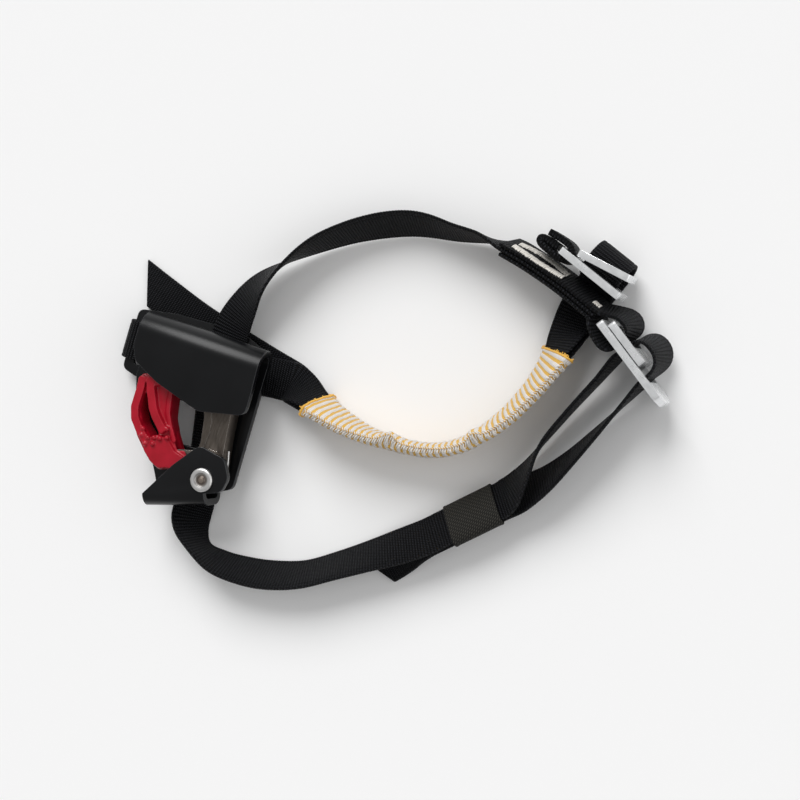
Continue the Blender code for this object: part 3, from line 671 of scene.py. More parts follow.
def cam():
    half = CAM_THICK / 2
    body = slab_mesh("cam", [cam_outline()], MID_Z - half, MID_Z + half)
    lobe = rounded([(0.0, -4.5, 1), (0.0, 8.0, 1), (-12.0, 11.0, 4), (-24.5, 7.5, 5),
                    (-23.5, -2.0, 5)], 8)
    body = carve(body, slab_mesh("ear", [lobe], MID_Z - 2.5, MID_Z + 2.5), operation="UNION")
    waist = [(-8.8, 35, 1), (1.6, 35, 1), (-0.9, 28, 9), (-1.4, 22, 9), (1.6, 14.5, 1), (-6.6, 14.5, 1),
             (-5.6, 22, 9), (-6.2, 28, 9)]
    cutters = [slab_mesh("waist", [rounded(waist, 8)], MID_Z + half - 0.7, MID_Z + half + 2),
               slab_mesh("waist_rear", [rounded(waist, 8)], MID_Z - half - 2, MID_Z - half + 0.7),
               slab_mesh("recess", [circle((0, 0), 7.6)], MID_Z + 1.4, MID_Z + half + 4),
               slab_mesh("bores", [circle((0, 0), 4.2)], MID_Z - 9, MID_Z + 9),
               slab_mesh("pin_bore", [circle(PIN_AT, 1.8, 32)], MID_Z - 9, MID_Z + 9)]
    body = carve(body, *cutters)
    looks = (CAM_STEEL, POLISHED)
    body = softened(body, 0.45, 2, 35, looks)
    piece("toothed_cam", to_row_frame(body), looks, ("cam",), 30, "cam")


def axle():
    top = FLAP_Z + SHEET
    head = [(0, top + 1.35), (1.5, top + 1.35), (1.9, top + 1.15), (2.1, top + 0.85), (3, top + 0.8),
            (3.3, top + 0.95), (3.5, top + 1.5), (4.4, top + 1.7), (5.3, top + 1.6), (5.75, top + 1.25),
            (5.9, top + 0.8), (5.85, top + 0.15), (3, top + 0.1), (3, BACK_Z - 0.15), (5, BACK_Z - 0.2),
            (4.8, BACK_Z - 0.9), (4.2, BACK_Z - 1.4), (2, BACK_Z - 1.6), (0, BACK_Z - 1.6)]
    piece("axle_rivet", turned_mesh(head, (0, 0), 96), TURNED, ("cam_axle",), 50)
    pin = [(0, MID_Z + 3.8), (1.35, MID_Z + 3.8), (1.5, MID_Z + 3.6), (1.5, MID_Z - 3.6),
           (1.35, MID_Z - 3.8), (0, MID_Z - 3.8)]
    piece("pivot_pin", turned_mesh(pin, PIN_AT, 32), WIRE, ("trigger_pin",), 40,
          "trigger")
    for name, look in (("axle_bush", BRONZE), ("cam_washer_rear", NYLON), ("cam_washer_front", NYLON)):
        node = frame["nodes"][name]
        node.data.materials.clear()
        node.data.materials.append(look)
        node.data.shade_smooth()
        node.data.set_sharp_from_angle(angle=math.radians(40))


def cam_spring():
    """A torsion coil round the bush, one leg up the cam's arm, one on the wall."""
    radius, wire_radius, turns, pitch, per_turn = 5.6, 0.6, 2, 1.3, 48
    bottom = MID_Z + 1.4 + 0.3 + wire_radius
    coil = [(5.9, 16.5, bottom), (6.7, 13, bottom), (7.4, 9.5, bottom), (7.75, 6.5, bottom),
            (7.7, 4, bottom), (6.9, 2, bottom)]
    for index in range(per_turn * turns + per_turn // 4 + 1):
        angle = math.radians(5) - 2 * math.pi * index / per_turn
        coil.append((radius * math.cos(angle), radius * math.sin(angle),
                     bottom + pitch * index / per_turn))
    last = coil[-1][2]
    coil += [(-4.5, -6.6, last), (-6.6, -8.0, last), (-9.0, -9.4, last)]
    mesh = tubes("spring", [tube(coil, wire_radius, 12)])
    piece("torsion_spring", mesh, WIRE, ("cam_spring",), 60)


# ---- trigger ----
TRIGGER_OUTLINE = [(-16.8, 9.6, 2), (-20.2, 7.8, 3), (-25.2, 15, 5), (-29, 22, 6), (-31, 33, 3),
                   (-33.5, 39.5, 3), (-49.5, 39.5, 3), (-52, 35.5, 1.5), (-50.2, 32, 1.5),
                   (-50.8, 19, 8), (-43.8, 8.2, 3), (-38, 2.6, 2), (-32.5, -2, 4), (-27, -4.2, 3),
                   (-23, -2.6, 3), (-14.6, -1.2, 3), (-13.6, 6, 3)]
TRIGGER_SLOT = [(-46, 30.5, 1), (-42.6, 29.5, 1), (-40.3, 23.6, 4), (-36.4, 17.6, 4),
                (-31.8, 11.8, 1.2), (-35, 9.2, 1.2), (-42.6, 15.2, 5), (-46, 21.5, 5)]
TRIGGER_LOW, TRIGGER_HIGH = BACK_Z + SHEET + 0.8, FLAP_Z - 0.8
KNOBS = [(-31.4, 18.4), (-28, 16.9), (-30.4, 14.6), (-26.7, 12.7), (-30.2, 11.2), (-33.4, 10.6),
         (-33.2, 7.4), (-36.6, 9.4), (-37.2, 6.2), (-40.4, 9.6), (-40.6, 13)]
TRIGGER_FIELD = TRIGGER_HIGH - 3.0          # height of the sunk field right of the ridge
LEFT_RIM = [(-48.6, 36), (-48.2, 31), (-48.4, 22), (-46.6, 16.6), (-42, 11.4), (-37.6, 8)]
RIDGE = [(-43.6, 37), (-42.2, 32.6), (-40.2, 28.6), (-38.4, 24.6), (-35.6, 21), (-32.4, 18),
         (-30.6, 16.4)]
HEAD_RIM = [(-45.6, 37.4), (-40, 37.4)]
RIGHT_RIM = [(-32.4, 36.5), (-32, 30), (-30.8, 24.6), (-27.6, 18.4), (-23.4, 12.4)]
LOWER_PAD = [(-21, 7.6, 3), (-26.5, 12.4, 5), (-32.5, 12.5, 4), (-38.6, 7.6, 3), (-37.4, 2.8, 2),
             (-32.3, -1.4, 4), (-27, -3.4, 3), (-23, -1.8, 3), (-14.8, -0.6, 3), (-14.2, 6, 3)]


def bar(points, width, low, high):
    """A rounded rib along a line, as overlapping upright prisms."""
    parts = [slab_mesh("rib_end", [circle(point, width / 2, 24)], low, high) for point in points]
    for (x1, y1), (x2, y2) in zip(points, points[1:]):
        along = Vector((x2 - x1, y2 - y1)).normalized()
        side = Vector((-along.y, along.x)) * width / 2
        box = [(x1 - side.x, y1 - side.y), (x2 - side.x, y2 - side.y), (x2 + side.x, y2 + side.y),
               (x1 + side.x, y1 + side.y)]
        parts.append(slab_mesh("rib", [box], low, high))
    return parts


def knob(x, y, z, radius):
    shape = bmesh.new()
    bmesh.ops.create_icosphere(shape, subdivisions=2, radius=radius,
                               matrix=Matrix.Translation((x, y, z)))
    return stored(shape, bpy.data.meshes.new("knob"), outwards=False)


def trigger():
    floor, top, field = TRIGGER_LOW, TRIGGER_HIGH, TRIGGER_FIELD
    parts = [slab_mesh("lever", [rounded(TRIGGER_OUTLINE), rounded(TRIGGER_SLOT)], floor, field)]
    root = field - 2
    for line, width, high in ((LEFT_RIM, 4.2, top - 0.7), (RIDGE, 4.4, top),
                              (HEAD_RIM, 3.6, top - 0.5), (RIGHT_RIM, 2.2, field + 0.7)):
        parts += bar(line, width, root, high)
    parts.append(slab_mesh("lower_pad", [rounded(LOWER_PAD, 8)], root, field + 1.6))
    parts += [knob(x, y, top - 1.1, 1.35) for x, y in KNOBS]
    whole = stored(opened(*parts), bpy.data.meshes.new("joined"), outwards=False)
    mesh = melted(whole, 0.34, 8)
    fork = rounded([(-26.0, 20.0, 0), (-26.8, 2.0, 5), (-25.6, -9.0, 0), (-2.0, -9.0, 0),
                    (-2.0, 20.0, 0)])
    mesh = carve(mesh, slab_mesh("fork", [fork], MID_Z - 2.85, MID_Z + 2.85),
                 slab_mesh("bore", [circle(PIN_AT, 1.7, 32)], MID_Z - 4.0, MID_Z + 4.0))
    piece("red_lever", to_row_frame(mesh), RED, ("trigger",), 45, "trigger")


# ---- strap routes ----
# Stations are (x, y, z, lean), with lean the width's angle above the floor on the left.
EAR_LOOP = [(-53, 51.5, 0.9), (-59, 51.5, 0.9), (-66, 51.5, 1), (-71.6, 51.5, 2.4), (-72.6, 51.5, 5.2),
            (-70.6, 51.5, 7.4), (-66.6, 51.5, 7.8), (-63.6, 51.5, 7.2), (-61.8, 51.5, 5.2),
            (-59.4, 51.5, 3.5), (-54, 51.5, 3.2)]
FOOT_OUT = [(-54, 51.5, 3.2, 0), (-30, 51.8, 3.2, 0), (-5, 53.4, 3.2, 0), (8, 55.8, 3.7, 0),
            (21, 57.2, 5.4, -8)]
FOOT_DOUBLE = [(21, 57.2, 4, -8), (27.5, 55.3, 7.4, -34), (34.5, 53, 10.9, -58), (45, 50, 13.2, -73),
               (57, 47.3, 13.6, -80), (68, 45.8, 13.4, -87), (78, 45.8, 13.3, -91),
               (89, 46.6, 13.3, -94), (101, 48.8, 13.3, -92), (112, 53.8, 13.3, -86),
               (123, 63.5, 13.3, -78), (133, 77.4, 13.3, -71), (140.5, 93, 13.2, -65),
               (145.4, 108, 13, -54), (146.9, 115.8, 10.6, -42), (147.1, 121, 7.4, -29),
               (147.4, 126, 4.8, -15), (147.6, 131, 2.5, -3), (148.6, 136, 2.2, 0),
               (150, 139.5, 2.2, 0)]
FOOT_TAIL = [(-72.2, 80.8, 0.85, 0), (-60, 76.8, 0.85, 0), (-40, 70.6, 0.85, 0), (-20, 65.6, 0.85, 0),
             (-4, 62.1, 0.95, 0), (8, 59.6, 1.1, 0), (21, 57.2, 2.6, -8)]
SLEEVE_X = (39.5, 146.2)      # stretch of the doubled foot strap that the sleeve covers
HUMPS = ((44.0, 3.4, 4.4), (88.0, 3.0, 4.0))      # place along the sleeve, height and width
JOINT_AT, JOINT_TURN = (150.0, 139.5), -21.5
BUCKLE_1_LOOP_PATH = [(3.6, 3.4), (6.6, 4.9), (8.2, 7.6), (8.5, 10.6), (10.6, 14.6), (15.2, 16.7),
                      (20.6, 16.5), (24.6, 13.7), (25.8, 9), (23.4, 4), (18, 1.6), (10, 1.2),
                      (3.6, 1.2)]
NECK = [(160, 135.2, 15.2, 74), (150, 139.5, 15.2, 73), (138, 144.2, 15.2, 72), (122, 149, 14.8, 72),
        (108, 152, 13, 74), (95.5, 152.6, 11.4, 96), (81, 151.2, 10.3, 108), (67, 150.6, 9.6, 118),
        (56, 148.6, 9.3, 121), (43, 143.6, 9.6, 119), (29, 136, 10.2, 112), (15, 125.8, 11, 101),
        (3, 113.5, 12.4, 78), (-7.5, 99.5, 12.4, 48), (-14, 84, 9.8, 18), (-17, 72, 7.6, 0),
        (-17, 60, 7.6, 0), (-16, 46, 7.6, 0), (-14.5, 33, 7.2, 0), (-13, 18, 4.6, 0), (-11.5, 3, 3, 0),
        (-11, -14, 3.4, -4), (-8.5, -26, 8.4, -44), (0, -35.6, 10.6, -80), (12, -39.6, 10.4, -66),
        (25, -39.6, 9.6, -57), (40, -37, 9.2, -52), (57, -30.6, 9.2, -53), (73, -20, 9.2, -51),
        (88, -9.4, 9.4, -44), (101, 0, 9.4, -33)]
JOINT_X, JOINT_Y = 107.9, 100.0     # the sewn joint is the first stretch of that, beyond these
KEEPER_Z, KEEPER_LEAN = 9.4, -30
KEEPER_START, KEEPER_END = np.array((112.0, 8.0, KEEPER_Z)), np.array((142.0, 37.4, KEEPER_Z))
KEEPER_SPAN = (0.30, 0.92)    # where the keeper sits along that straight stretch
RUN_1 = [(144.6, 42.8, 12.2, -40), (148.6, 54.5, 13.4, -64), (152.8, 70.3, 14.4, -84),
         (160.5, 88.5, 14.8, -88), (169, 106.5, 15, -90)]
RUN_2 = [(148.4, 42.4, 8.4, -32), (158, 53, 9.8, -52), (166.5, 66.5, 11.6, -66), (175, 82.5, 13.4, -76),
         (183, 98.5, 14.8, -86)]
ANKLE_TAIL = [(90.2, -16.6, 1.1, 0), (96, -10.2, 1.3, -1), (101.2, -4.3, 2.7, -8),
              (106.4, 1.7, 5.3, -19)]
BUCKLE_2_AT, BUCKLE_2_TURN = (163.8, 130.7), -35.2
BUCKLE_1_Z, BUCKLE_Z = 16.6, 15.2
LOOP_LEAN = np.array((0.21, 0.30, -1.0))          # way of the width in the loops of buckle 2
ANKLE_LOOP_PATH = [(15.2, -3), (15.4, 0), (15.2, 6), (16.4, 10.5), (20, 13.4), (25.5, 13.4),
                   (29.6, 10.5), (31.4, 6), (31.8, 0), (32.2, -3)]
HOLD_LOOP_PATH = [(-1.4, 7.4), (2, 9.8), (6, 10.8), (9.8, 9.2), (11.6, 5.4), (11.6, 0), (9.6, -3.4),
                  (5.6, -4.2), (1, -3.6), (-2.4, -2.6)]
BUCKLE_1_HOLD_PATH = [(-22.4, 11.1), (-26, 10.9), (-29, 10.9), (-31.2, 10.4), (-32, 9.2), (-31, 7.9),
                      (-28.5, 7.4), (-24, 7.3), (-19, 7.5), (-16.2, 8.7), (-14.9, 11.2), (-16.2, 14),
                      (-19.5, 15.2), (-25, 14.9), (-30, 14.2)]
HOLD_THICK, HOLD_WIDTH, HOLD_Z = 3.2, 14.5, 15.6  # that loop is of doubled webbing


def squared(across, along):
    """The width's way with what lies along the strap taken out."""
    return unit(across - along * np.sum(across * along, axis=1)[:, None])


class Track:
    """Places along a strap and the direction of its width at each, both as arrays."""

    def __init__(self, places, across):
        self.places = np.asarray(places, float)
        self.across = np.asarray(across, float)

    def __add__(self, other):
        return Track(np.vstack([self.places, other.places]), np.vstack([self.across, other.across]))

    def reverse(self):
        return Track(self.places[::-1], self.across[::-1])

    def where(self, keep):
        chosen = [index for index, place in enumerate(self.places) if keep(place)]
        return Track(self.places[chosen], self.across[chosen])

    def even(self, pitch, smoothing=0):
        """Evenly spaced, square to itself, with kinks over a few steps smoothed away."""
        steps = np.linalg.norm(np.diff(self.places, axis=0), axis=1)
        keep = np.concatenate([[True], steps > 0.01])
        places, across = self.places[keep], self.across[keep]
        run = run_along(places)
        count = max(4, round(run[-1] / pitch) + 1)
        at = np.linspace(0, run[-1], count)
        places = np.stack([np.interp(at, run, places[:, i]) for i in range(3)], axis=1)
        across = np.stack([np.interp(at, run, across[:, i]) for i in range(3)], axis=1)
        for _ in range(smoothing):
            for values in (places, across):
                values[1:-1] = 0.25 * values[:-2] + 0.5 * values[1:-1] + 0.25 * values[2:]
        return Track(places, across)

    def axes(self):
        """The three square ways at each place, and its distance along the strap."""
        along = unit(np.gradient(self.places, axis=0))
        across = squared(self.across, along)
        return along, across, np.cross(along, across), run_along(self.places)


def smooth(stations, fine=12):
    """Catmull-Rom through the stations."""
    points = np.asarray(stations, float)
    padded = np.vstack([points[:1], points, points[-1:]])
    t = np.linspace(0, 1, fine, endpoint=False)[:, None]
    parts = []
    for a, b, c, d in zip(padded, padded[1:], padded[2:], padded[3:]):
        parts.append(0.5 * (2 * b + (c - a) * t + (2 * a - 5 * b + 4 * c - d) * t * t
                            + (3 * b - a - 3 * c + d) * t ** 3))
    return np.vstack([*parts, points[-1:]])


def leaning(stations, offset=0.0):
    """A track through (x, y, z, lean) stations, shifted off its own face by the offset."""
    track = smooth(stations)
    along = unit(np.gradient(track[:, :3], axis=0))
    left = unit(np.stack([-along[:, 1], along[:, 0], 0 * along[:, 0]], axis=1))
    lean = np.radians(track[:, 3])[:, None]
    across = squared(left * np.cos(lean) + np.array((0, 0, 1.0)) * np.sin(lean), along)
    return Track(track[:, :3] + np.cross(along, across) * offset, across)


def folding(points, across):
    """A track through the points whose width keeps one way."""
    places = smooth(points)
    return Track(places, np.tile(np.asarray(across, float), (len(places), 1)))


def in_plan(path, at, turn, z=BUCKLE_Z):
    """Points (along, outward) of a buckle's own plan, as places."""
    angle = math.radians(turn)
    return [(at[0] + s * math.cos(angle) - n * math.sin(angle),
             at[1] + s * math.sin(angle) + n * math.cos(angle), z) for s, n in path]


CUT_REACH = 14.0              # how far from a slanted end its ribs still lean
REAR_SHIFT = 100.0            # keeps the weave of a strap's two faces apart


def web_section(width, thick):
    """Closed section (across, proud, share of the rib) with a cord along each selvedge."""
    half = thick / 2
    top = [(-width / 2 + 0.35, half * 0.86, 0.3), (-width / 2 + 1.1, half * 1, 0.5),
           (-width / 2 + 1.9, half * 0.80, 0.5)]
    inner = width / 2 - 2.8
    top += [(x, half * 0.97, 1.0) for x in np.linspace(-inner, inner, 9)]
    top += [(-x, y, k) for x, y, k in reversed(top[:3])]
    bottom = [(x, -y, -k) for x, y, k in reversed(top)]
    left, right = (-width / 2, 0.0, 0.0), (width / 2, 0.0, 0.0)
    return [left, *top, right, *bottom]


def strap(name, track, node, width=WEB_WIDTH, thick=WEB_THICK, cut=0.0, smoothing=40):
    """A piece of ribbed webbing along the track; cut is the slope of its last end."""
    track = track.even(RIB / 4, smoothing)
    along, across, proud, run = track.axes()
    rib = np.abs(np.sin(np.pi * run / RIB)) ** 0.7 - 0.55
    section = web_section(width, thick)
    length = run[-1]
    rows = np.empty((len(run), len(section), 3))
    weave = np.zeros(rows.shape)
    for index, (x, y, k) in enumerate(section):
        slide = cut * x * np.clip(1 - (length - run) / CUT_REACH, 0, 1)
        scallop = 0.14 * np.sign(x) * rib if abs(x) > width / 2 - 0.5 else 0.0 * rib
        rows[:, index] = (track.places + across * (x + scallop)[:, None]
                          + proud * (y + 0.2 * k * rib)[:, None] + along * slide[:, None])
        weave[:, index, 0] = run + slide
        weave[:, index, 1] = x + (REAR_SHIFT if y < 0 else 0.0)
    mesh = outward(grid(name, rows, weave))
    obj = piece(name, mesh, WEBBING, (node,))


def keeper_track(offset=0.0, span=(0.0, 1.0), count=6):
    """Stations on the straight, evenly leaning stretch that the keeper slides on."""
    ahead = unit(KEEPER_END - KEEPER_START)
    lean = math.radians(KEEPER_LEAN)
    left = np.array((-ahead[1], ahead[0], 0.0))
    proud = np.array((0, 0, math.cos(lean))) - left * math.sin(lean)
    return [(*(KEEPER_START + (KEEPER_END - KEEPER_START) * t + proud * offset), KEEPER_LEAN)
            for t in np.linspace(*span, count)]


def foot_strap():
    out, back = leaning(FOOT_DOUBLE, FOOT_LAYER), leaning(FOOT_DOUBLE, -FOOT_LAYER)
    angle = math.radians(JOINT_TURN)
    outward_way = np.array((-math.sin(angle), math.cos(angle), 0.0))
    base = np.array((*JOINT_AT, 0.0))
    path = [base + outward_way * n + np.array((0, 0, z)) for n, z in BUCKLE_1_LOOP_PATH]
    loop = folding(path, (-math.cos(angle), -math.sin(angle), 0.0))
    track = (folding(EAR_LOOP, (0, 1, 0)) + leaning(FOOT_OUT) + out + loop + back.reverse()
             + leaning(FOOT_TAIL).reverse())
    strap("foot_webbing", track, "foot_strap", cut=0.69)


def ankle_strap():
    upper = leaning(NECK + keeper_track(LAYER) + RUN_1)
    loop = folding(in_plan(ANKLE_LOOP_PATH, BUCKLE_2_AT, BUCKLE_2_TURN), LOOP_LEAN)
    lower = leaning(ANKLE_TAIL + keeper_track(-LAYER) + RUN_2)
    strap("ankle_webbing", upper + loop + lower.reverse(), "ankle_strap",
          cut=0.53)


def at_joint(offset, margin=0.0):
    """The sewn joint's stretch of the ankle strap, shifted off its face."""
    return leaning(NECK, offset).where(
        lambda place: place[0] > JOINT_X - margin and place[1] > JOINT_Y)


def holding_loops():
    loop = folding(in_plan(HOLD_LOOP_PATH, BUCKLE_2_AT, BUCKLE_2_TURN), -LOOP_LEAN)
    strap("buckle_2_webbing", at_joint(2 * LAYER).reverse() + loop + at_joint(-2 * LAYER),
          "buckle_2_loop", smoothing=24)
    hold = in_plan(BUCKLE_1_HOLD_PATH, JOINT_AT, JOINT_TURN, HOLD_Z)
    strap("buckle_1_webbing", folding(hold, (0, 0, -1)), "buckle_1_loop",
          width=HOLD_WIDTH, thick=HOLD_THICK, smoothing=16)


# ---- sleeve and keeper ----
OVAL_POWER = 0.62             # below 1, a ring's ends are fuller than an ellipse's


def oval_section(half_width, half_height, count):
    """A flattened ring of (across, proud), evenly stepped by angle with full ends."""
    points = []
    for index in range(count):
        angle = 2 * math.pi * index / count
        c, s = math.cos(angle), math.sin(angle)
        points.append((half_width * math.copysign(abs(c) ** OVAL_POWER, c),
                       half_height * math.copysign(abs(s) ** OVAL_POWER, s)))
    return np.array(points)


def swelling(x, y, half):
    """The ways in which a ring of that half width and height grows at one of its points."""
    return np.sign(x) * abs(x / half[0]) ** 2, np.sign(y) * abs(y / half[1]) ** 0.6


def band(name, track, rows, section):
    """A hollow band: a skin through the rows and a smaller one inside it."""
    weave = np.zeros(rows.shape)
    weave[:, :, 0] = track.axes()[3][:, None]
    weave[:, :, 1] = run_along(section)
    core = track.places[:, None, :]
    inner = core + (rows - core) * WALL_SHARE
    return outward(grid(name, np.concatenate([rows, inner[::-1]]),
                        np.concatenate([weave, weave[::-1]]), loop=True))


def sleeve():
    """Ribbed, with a fatter rib in every three, small waves and two humps on its high edge."""
    track = leaning(FOOT_DOUBLE).where(lambda place: SLEEVE_X[0] < place[0] < SLEEVE_X[1])
    track = track.even(SLEEVE_RIB / 5, 10)
    _, across, proud, run = track.axes()
    length = run[-1]
    section = oval_section(*SLEEVE_HALF, 56)
    rib = np.abs(np.sin(np.pi * run / SLEEVE_RIB)) ** 0.8 - 0.5
    fat = np.cos(2 * np.pi * run / (3 * SLEEVE_RIB))
    flare = 0.35 * (np.exp(-(run / 2.2) ** 2) + np.exp(-((length - run) / 2.2) ** 2))
    push = 0.1 * rib + 0.26 * fat + flare
    rows = np.empty((len(run), len(section), 3))
    for index, (x, y) in enumerate(section):
        share = x / SLEEVE_HALF[0]
        wave = 0.22 * np.sin(run * 0.55 + 2.1 * share) * np.sin(run * 0.21 + index)
        high_side = max(0.0, -share) ** 0.7 * (1.0 if y > -1.0 else 0.2)
        lift = sum(height * np.exp(-((run - at) / wide) ** 2) * high_side
                   for at, height, wide in HUMPS)
        out_x, out_y = swelling(x, y, SLEEVE_HALF)
        rows[:, index] = (track.places
                          + across * (x + out_x * (push + wave) - 0.3 * lift)[:, None]
                          + proud * (y + out_y * (push + wave) + lift)[:, None])
    obj = piece("woven_sleeve", band("sleeve_tube", track, rows, section), SLEEVING,
                ("sleeve",))
    return track, rows


# ---- buckles, drawn flat and stood on edge ----
def box_outline(left, right, low, high, radius=1.2):
    corners = ((left, low), (right, low), (right, high), (left, high))
    return rounded([(*corner, radius) for corner in corners], 6)


def standing(name, node, loops, at, turn, s, n, z, body="frame_body", swing=0.0):
    """A plate drawn in (along, up), stood on edge at (s, n) of a buckle's plan and swung there."""
    matrix = (Matrix.Translation(in_plan([(s, n)], at, turn, z)[0])
              @ Matrix.Rotation(math.radians(turn + swing), 4, "Z")
              @ Matrix.Rotation(math.radians(90), 4, "X"))
    mesh = slab_mesh(name, loops, -BUCKLE_PLATE / 2, BUCKLE_PLATE / 2)
    mesh = softened(mesh, 0.7, 4, 40, ALUMINIUM)
    mesh.transform(matrix)
    piece(name, to_row_frame(mesh), ALUMINIUM, (node,), 30, body)


def buckles():
    standing("buckle_1_frame", "buckle_1_base",
             [box_outline(-20, 15, -10.5, 10.5, 2), box_outline(-18, -12.6, -8.6, 8.6, 1),
              box_outline(-10.6, 10.8, -6.6, 5.5, 1)], JOINT_AT, JOINT_TURN, 0, 11.2, BUCKLE_1_Z)
    standing("buckle_1_bar", "buckle_1_lock",
             [box_outline(-4, 23, -9, 9, 2), box_outline(-2.2, 20.6, -2.8, 4.4, 1)],
             JOINT_AT, JOINT_TURN, -9, 15.95, BUCKLE_1_Z, body="buckle_1_lock", swing=11)
    standing("buckle_2_frame", "buckle_2_base",
             [rounded([(-1, -13.5, 2), (42, -13.5, 3), (46, -8, 3), (46, 8, 3),
                       (42, 13.5, 3), (-1, 13.5, 2)], 6),
              box_outline(3.6, 18, -10.6, 10.6), box_outline(25, 34.6, -10.6, 10.6)],
             BUCKLE_2_AT, BUCKLE_2_TURN, 0, 0, BUCKLE_Z)
    standing("buckle_2_bar", "buckle_2_lock",
             [box_outline(2.6, 26.2, -13, 13, 2), box_outline(5.4, 18, -10.6, 10.6)],
             BUCKLE_2_AT, BUCKLE_2_TURN, 0, 3.9, BUCKLE_Z, body="buckle_2_lock")


def keeper():
    track = leaning(keeper_track(span=KEEPER_SPAN, count=4)).even(0.5)
    _, across, proud, run = track.axes()
    section = oval_section(*KEEPER_HALF, 64)
    ends = np.minimum(run, run[-1] - run)
    hem = 0.25 * np.exp(-(ends / 1.2) ** 2) - 0.35 * np.exp(-(ends / 0.35) ** 2)
    rows = np.empty((len(run), len(section), 3))
    for index, (x, y) in enumerate(section):
        out_x, out_y = swelling(x, y, KEEPER_HALF)
        rows[:, index] = (track.places + across * (x + out_x * hem)[:, None]
                          + proud * (y + out_y * hem)[:, None])
    piece("elastic_keeper", band("keeper_band", track, rows, section), ELASTIC,
          ("keeper",), body="keeper")


# ---- stitching ----
def stitches_over(track, low, high, first, last, arch):
    """Threads laid across a strap's face from low to high, in a row that arches sideways."""
    pitch, radius, bow = 0.5, 0.3, 0.45
    along, across, proud, run = track.axes()
    wobble = random.Random(4)
    many = []
    at = first
    while at < last:
        index = int(np.searchsorted(run, at))
        shift = wobble.uniform(-0.35, 0.35)
        side = arch * math.sin(math.pi * (at - first) / (last - first))
        a, b = low + side + wobble.uniform(-0.4, 0.4), high + side + wobble.uniform(-0.4, 0.4)
        points = []
        for t in np.linspace(0, 1, 7):
            rise = bow * math.sin(math.pi * t) ** 0.5 if 0 < t < 1 else 0.0
            points.append(track.places[index] + across[index] * (a + (b - a) * t)
                          + proud[index] * rise + along[index] * shift * (t - 0.5))
        many.append(tube(points, radius, 6))
        at += pitch
    return many


def bar_tacks():
    """Dense stitching through the joint: two long rows and one short one."""
    face = at_joint(2 * LAYER + WEB_THICK / 2 + 0.12, 4).even(0.2, 20)
    for name, *row in (("bar_tack_upper", 1.9, 6.9, 23.0, 51.0, 2.0),
                       ("bar_tack_lower", -4.0, 0.8, 23.0, 51.0, -2.4),
                       ("bar_tack_end", 1.0, 5.0, 1.0, 4.6, 0.0)):
        mesh = tubes(name, stitches_over(face, *row))
        piece(name + "_threads", mesh, THREAD, (name,))


def sleeve_stitching(track, rows):
    """The braided seam: chevrons of white thread with yellow dashes along its middle."""
    corner, flat = 25, 30         # the columns of the ring between which the seam lies
    middle = (corner + flat) / 2
    bow, step, last_row = 0.2, 3, len(rows) - 1
    white, gold = [], []
    for i in range(6, len(rows) - 8, 2 * step):
        for start in (corner, flat):
            points = []
            for t in (0.0, 0.35, 0.7, 1.0):
                column = start + (middle - start) * t
                low = int(column)
                share = column - low
                row = min(i + round(step * 1.6 * t), last_row)
                place = rows[row, low] * (1 - share) + rows[row, low + 1] * share
                away = unit(place - track.places[row])
                points.append(place + away * (0.25 + bow * math.sin(math.pi * t)))
            white.append(tube(points, 0.27, 5))
        first, last = rows[i, int(middle)], rows[min(i + 4, last_row), int(middle)]
        away = unit(first - track.places[i])
        gold.append(tube([first + away * 0.2, (first + last) / 2 + away * 0.55, last + away * 0.2],
                         0.25, 5))
    for name, threads, look in (("sleeve_seam", white, THREAD), ("sleeve_seam_core", gold, GOLD_THREAD)):
        piece(name, tubes(name, threads), look)


def sleeve_fray(track, rows):
    """A rolled hem and loose yarn ends round both mouths of the sleeve."""
    loose = random.Random(11)
    along = track.axes()[0]
    for name, index, way in (("fray_left", 0, -1.0), ("fray_right", len(rows) - 1, 1.0)):
        ring = rows[index]
        centre = track.places[index]
        ahead = along[index] * way
        hem = []
        for number, point in enumerate(np.vstack([ring, ring[:2]])):
            away = unit(point - centre)
            hem.append(point + away * (0.15 + 0.12 * math.sin(1.7 * number)) + ahead * 0.1)
        threads = [tube(hem, 0.62, 8)]
        for _ in range(70):
            start = ring[loose.randrange(len(ring))]
            away = unit(start - centre)
            reach = loose.uniform(0.5, 1.4)
            bend = np.array([loose.uniform(-0.5, 0.5) for _ in range(3)])
            points = [start - ahead * 0.6 + away * -0.2]
            for t in (0.35, 0.7, 1.0):
                points.append(start + ahead * reach * t + away * 0.5 * t * (1 - t) + bend * t * t)
            threads.append(tube(points, loose.uniform(0.2, 0.34), 5))
        piece(name, tubes(name, threads), GOLD_THREAD)


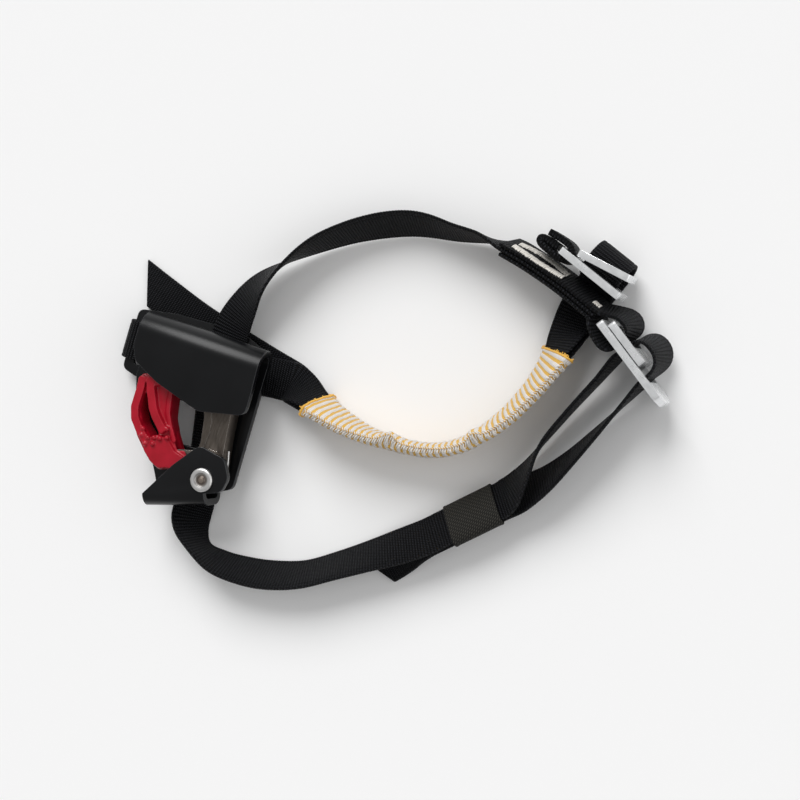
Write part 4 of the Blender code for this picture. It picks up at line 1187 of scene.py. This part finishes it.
# ---- stage ----
def placed(name, data):
    """A new object in the scene itself, outside the collection of looks."""
    obj = bpy.data.objects.new(name, data)
    bpy.context.scene.collection.objects.link(obj)
    return obj


def studio():
    floor_size, floor_z = 6.0, -0.0003
    shape = bmesh.new()
    bmesh.ops.create_grid(shape, x_segments=1, y_segments=1, size=floor_size / 2,
                          matrix=Matrix.Translation((0, 0, floor_z)))
    mesh = stored(shape, bpy.data.meshes.new("floor"), outwards=False)
    mesh.materials.append(Shader("white_paper", (0.93, 0.93, 0.93), 0.9).material)
    placed("floor", mesh)
    sky = bpy.data.worlds.new("studio_sky")
    sky.use_nodes = True
    background = sky.node_tree.nodes["Background"]
    background.inputs["Color"].default_value = (1.0, 1.0, 1.0, 1.0)
    background.inputs["Strength"].default_value = 0.4
    bpy.context.scene.world = sky
    bpy.context.scene.view_settings.view_transform = "Standard"
    suns = (("key_sun", (-0.45, 0.9, 0.8), 36, 2.3), ("fill_sun", (0.9, 0.2, 0.6), 60, 0.75))
    for name, way, spread, power in suns:
        lamp = bpy.data.lights.new(name, "SUN")
        lamp.angle = math.radians(spread)
        lamp.energy = power
        placed(name, lamp).rotation_euler = Vector(way).to_track_quat("Z", "Y").to_euler()


def camera():
    """18 degrees off the vertical, 750 mm away."""
    at = Vector((0.2365, 0.0774, 0.7253))
    target = Vector((0.0160, 0.0058, 0.012))
    up = Vector((-0.309, 0.951, 0.0))
    back = (at - target).normalized()
    right = up.cross(back).normalized()
    lens = bpy.data.cameras.new("camera")
    lens.lens = 70.3
    lens.sensor_width = 36.0
    lens.clip_start = 0.01
    obj = placed("camera", lens)
    obj.matrix_world = Matrix((right, back.cross(right), back)).transposed().to_4x4()
    obj.location = at
    bpy.context.scene.camera = obj


# ---- build ----
for make in (studio, camera, folded_frame, strap_plate, cam, axle, cam_spring, trigger, foot_strap,
             ankle_strap, holding_loops, buckles, keeper, bar_tacks):
    make()
sleeve_track, sleeve_rows = sleeve()
sleeve_stitching(sleeve_track, sleeve_rows)
sleeve_fray(sleeve_track, sleeve_rows)
